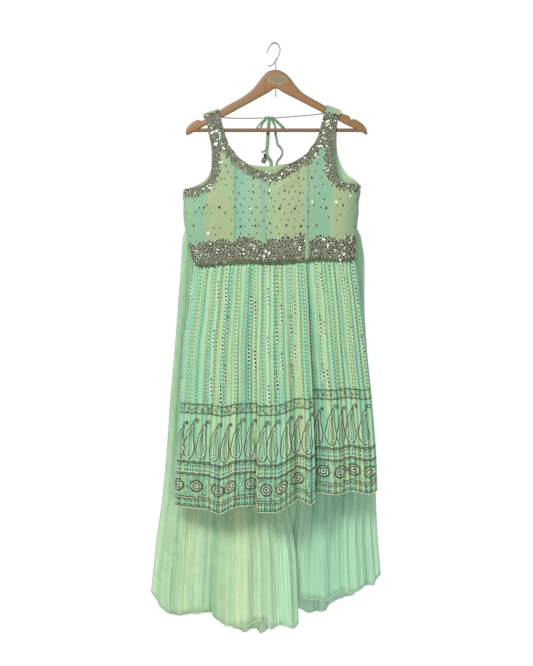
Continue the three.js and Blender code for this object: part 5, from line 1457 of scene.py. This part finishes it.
# the border: lines, rosettes, paisleys, squares and stitched grounds
def makeEmbroidery():
    dark, pale, dots, sequins = [], [], [], []
    for up in borderLines:
        dark += bandLine(float(up), 1.0)
    pale += bandLine(86.8, 0.7) + bandLine(24.9, 0.7)
    # scalloped lower edge
    for (first, last), count in zip(frontSpans, (560, 260)):
        across = np.linspace(first, last, count)
        pale.append(embroider(across, 0.6 + 1.6 * np.abs(np.sin(across * visibleWidth / 7 * math.pi))))
    for centre in rosettes:
        for radius, found in ((14.0, dark), (12.6, dark), (10.2, pale), (7.4, dark), (4.8, pale)):
            angle = np.linspace(0, 2 * math.pi, 44)
            found.append(embroider(centre + radius * np.cos(angle) / visibleWidth, 54 + radius * np.sin(angle)))
        sequins.append((centre, 54.0))
    for centre, share in paisleys:
        wide, tall = 14 + 14 * share, 78 + 14 * share
        a, b = paisleyOutline(wide, tall)
        dark.append(embroider(centre + a / visibleWidth, 119 + b))
        a, b = paisleyOutline(wide * 0.74, tall * 0.86)
        pale.append(embroider(centre + a[22:] / visibleWidth, 122.5 + b[22:]))
        rows = np.arange(12)
        level = rows / 12
        half = 0.27 * wide * np.sqrt(np.maximum(0, 1 - (1 - clamp((level + 0.12) / 0.35)) ** 2)) * (1 - 0.9 * level)
        for sign in (-1, 0, 1):
            a = sign * half + wide * (0.3 * level ** 3 - 0.08 * level)
            dots += [(centre + u / visibleWidth, v) for u, v in zip(a, 133 + rows * tall * 0.058 + 1.5 * sign)]
        sequins.append((centre, 127.0))
    makeThreads("skirt_dark_embroidery", dark, 2.5, 1.0, darkThread)
    makeThreads("skirt_pale_embroidery", pale, 2.1, 0.9, paleThread)
    squares = []
    for up in (9.3, 18.2, 92.2, 102.4):
        across = np.arange(0.008, 0.994, 6.6 / visibleWidth)
        squares += [(place, up) for place in across[np.abs(across - skirtSplit) > 0.004]]
    sewOn("skirt_dark_squares", stitchShape(), squares, (3.3, 5.0, 1.3), darkThread, np.zeros(len(squares)))
    for name, low, high, count in (("skirt_rosette_stitches", 30, 79, 1300), ("skirt_band_stitches", 229, 251, 820)):
        ground = random.uniform(0, 1, (count, 2))
        found = np.stack([0.006 + 0.988 * ground[:, 0], mix(low, high, ground[:, 1])], axis=1)
        sewOn(name, stitchShape(), found, (1.3, 2.4, 1.1), darkThread, random.uniform(0, 3, count), 0.4)
    sewOn("skirt_paisley_stitches", stitchShape(), dots, (2.0, 2.7, 1.5), darkThread,
          random.normal(0.4, 0.3, len(dots)))
    sequins += [(across, 240.0) for across in np.arange(0.015, 0.99, 17 / visibleWidth)]
    sewOn("skirt_sequin_rims", discShape(7, 0.3), sequins, (6.6, 7.2, 1.2), paleBezels,
          random.uniform(0, 3, len(sequins)), 0.7)
    sewOn("skirt_border_sequins", discShape(6, 0.4), sequins, (4.6, 5.2, 1.5), darkMirrors,
          random.uniform(0, 3, len(sequins)), 1.2)


makeEmbroidery()


# across the skirt, the crest of one gather at each height: the wave's column number solved by repeated substitution
def crestAcross(part, number, up):
    first, count = skirtParts[part]["from"], skirtParts[part]["count"]
    step = np.full(len(up), float(number))
    for _ in range(40):
        down = downAt(first + step / (2 * count), up)
        wander = 0.11 * np.sin(2.7 * step) + 0.25 * np.sin(0.9 * step + 4 * down) + 0.16 * np.sin(3 * down + 1.7 * step)
        step = step + 0.6 * (number - wander - step)
    return first + step / (2 * count)


# stripes above the border, one to every second crest: by turns pale ladders, dark dots and slanted pairs, and on
# some crests sprigs of ringed sequins, spaced down the cloth
def makeStripes():
    ladder, dotted, slanted, rings, sprigs = [], [], [], [], []
    crests = ([("skirt_front_left", number) for number in range(1, 55, 2)]
              + [("skirt_front_right", number) for number in range(1, 25, 2)])
    for k, (part, number) in enumerate(crests):
        up = np.arange(257, 590, 4.6)
        across = crestAcross(part, number, up)
        top = float(read(waistSeam, "z", mix(waistLeft, waistRight, across[-1])) - read(frontHem, "z", across[-1])) - 8
        up, across = up[up < top], across[up < top]
        kind = (ladder, dotted, slanted, dotted, ladder, slanted)[k % 6]
        kind.extend(zip(across, up))
        if k % 3 == 1 or k % 7 == 5 or k % 8 == 3 or k % 5 == 2:
            continue
        for high in np.arange(top - 30 - 58 * (k % 2) - 11 * (k % 5), 290, -118):
            for row in range(5):
                level = high - 9.4 * row
                place = float(np.interp(level, up, across)) + 0.0008 * (row - 2)
                if row:
                    angle = np.linspace(0, 2 * math.pi, 13)
                    rings.append(embroider(place + 3.5 * np.cos(angle) / visibleWidth, level + 4.2 * np.sin(angle),
                                           0.6))
                sprigs.append((place, level))
    sewOn("skirt_ladder_stitches", stitchShape(), ladder, (7.4, 1.7, 1.3), paleThread, np.zeros(len(ladder)), 0.5)
    dotted = dotted[::2]
    sewOn("skirt_dotted_stitches", stitchShape(), dotted, (2.5, 3.3, 1.4), darkThread,
          random.normal(0.3, 0.2, len(dotted)), 0.5)
    slant = np.array(slanted[::2]) - [1.6 / visibleWidth, 0]
    sewOn("skirt_slanted_stitches", stitchShape(), slant, (2.4, 5.0, 1.5), darkThread,
          random.normal(0.6, 0.12, len(slant)), 0.5)
    shifted = slant + [3.4 / visibleWidth, 3.6]
    sewOn("skirt_chain_stitches", stitchShape(), shifted, (1.9, 4.6, 1.3), whiteThread,
          random.normal(0.5, 0.12, len(slant)), 0.5)
    makeThreads("skirt_sprig_rings", rings, 1.5, 1.0, whiteThread)
    sewOn("skirt_sprig_sequins", discShape(6, 0.4), sprigs, (4.2, 5.4, 1.6), darkMirrors,
          random.normal(0.5, 0.3, len(sprigs)), 1.0)


makeStripes()
print("embroidery ready")


# Knot, bead and tassel of the dori

# the knot is a barrel, its radius the root of half a sine with a ridge wound round it; the tassel is a ring of
# leaves, each turned 2.4 radians from the last and lower down
knot = {"start": (-26.9, doriY, -180.6), "length": 30, "radius": 3.7, "around": 40, "along": 48}
latkan = {"bead": (-23.6, 13.9, -272.3), "tassel": (-23.6, 13.9, -291.0), "leaves": 30}


def makeKnotAndTassel():
    around, along = knot["around"], knot["along"]
    x, y, z = knot["start"]
    angle, t = np.meshgrid(np.linspace(0, 2 * math.pi, around, endpoint=False), np.linspace(0, 1, along), indexing="ij")
    radius = (knot["radius"] * np.sqrt(np.sin(math.pi * np.clip(t, 0.004, 0.996)))
              * (1 + 0.13 * np.cos(2 * math.pi * (3.5 * t + angle / 6.283))))
    points = np.stack([x + knot["length"] * t, y + radius * np.cos(angle), z + radius * np.sin(angle)], axis=-1)
    i, j = np.meshgrid(np.arange(around), np.arange(along - 1), indexing="ij")
    a, b = (i * along + j).ravel(), (((i + 1) % around) * along + j).ravel()
    ring = np.arange(around) * along
    faces = [np.stack([a, a + 1, b + 1, b], 1), np.stack([ring, ring[::-1] + along - 1])]
    piece = makeMesh("dori_knot_cloth", points, faces, doriLook, np.stack([angle * 4, t * knot["length"]], axis=-1))
    dress(piece, "dori", "dori_knot")
    piece = scatter("latkan_bead_glass", beadShape(8), np.array([latkan["bead"]]), np.array([[0, -1.0, 0]]),
                    np.array([0.0]), np.array([[7.2, 9.0, 7.2]]), darkMirrors)
    dress(piece, "beadwork", "latkan_bead")
    count = latkan["leaves"]
    k = np.arange(count)
    ringAngle = k * 2.4
    drop = 1 - (k / count)
    out = np.stack([np.cos(ringAngle), np.sin(ringAngle), np.zeros(count)], axis=1)
    places = (np.array(latkan["tassel"]) + out * (2.2 + 4.6 * np.sin(math.pi * drop))[:, None]
              - np.array([3.5, 0, 0]) * (1 - drop)[:, None] + np.array([0, 0, 1.0]) * (drop * 13)[:, None])
    normals = unit(out + [0, 0, 0.35])
    places = np.vstack([places, [[-30.0, 14, -264.4], [-26.2, 14, -262.4], [-22.4, 14.4, -260.6]]])
    normals = np.vstack([normals, np.tile([0.1, -1.0, 0.1], (3, 1))])
    count += 3
    piece = scatter("latkan_tassel_leaves", discShape(6, 0.35), places, normals, random.normal(0, 0.4, count),
                    np.tile([3.8, 7.2, 1.8], (count, 1)), silverBeads, random.uniform(0, 0.8, count))
    dress(piece, "beadwork", "latkan_tassel")


makeKnotAndTassel()
print("dori trim ready")


# Light and floor
world = bpy.data.worlds.new("studio")
world.use_nodes = True
sky = world.node_tree.nodes["Background"]
sky.inputs["Color"].default_value = (1, 1, 1, 1)
# seen white, but softer as a light
seen = world.node_tree.nodes.new("ShaderNodeLightPath")
level = world.node_tree.nodes.new("ShaderNodeMath")
level.operation = "MULTIPLY_ADD"
level.inputs[1].default_value, level.inputs[2].default_value = 0.45, 0.55
world.node_tree.links.new(seen.outputs["Is Camera Ray"], level.inputs[0])
world.node_tree.links.new(level.outputs[0], sky.inputs["Strength"])
bpy.context.scene.world = world
bpy.context.scene.view_settings.view_transform = "Standard"


# an area light turned to its aim
def makeLight(name, place, aim, size, power):
    data = bpy.data.lights.new(name, "AREA")
    data.size, data.energy = size, power
    lamp = bpy.data.objects.new(name, data)
    lamp.location = place
    direction = np.array(aim, float) - np.array(place, float)
    yaw = math.atan2(direction[1], direction[0]) - math.pi / 2
    pitch = math.atan2(direction[2], math.hypot(direction[0], direction[1]))
    lamp.rotation_euler = (math.pi / 2 + pitch, 0, yaw)
    bpy.context.scene.collection.objects.link(lamp)


makeLight("keyLight", (-1.1, -2.2, 0.85), (0, 0, -0.85), 0.9, 80)
makeLight("lowLight", (0.3, -2.6, -1.5), (0, 0, -1.25), 1.2, 21)
makeLight("rimLight", (1.4, 1.8, 0.6), (0, 0, -0.8), 1.4, 22)

# floor: a plain pale disc well below the hem
floorRadius, floorHeight, floorCorners = 1350, -1950.0, 96
angle = np.linspace(0, 2 * math.pi, floorCorners, endpoint=False)
floorPoints = np.stack([
    floorRadius * np.cos(angle), floorRadius * np.sin(angle), np.full(floorCorners, floorHeight)], axis=1)
floorLook = Look("paleFloor", Roughness=0.7)
floorLook.set("Base Color", floorLook.blend(floorLook.noise(floorLook.place("object"), 30, 3) * 0.3, (0.85, 0.85, 0.85),
                                            (0.8, 0.8, 0.8)))
floor = makeMesh("floor", floorPoints, np.arange(floorCorners)[None], floorLook.material)
floor.parent = None
del floor["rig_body"]
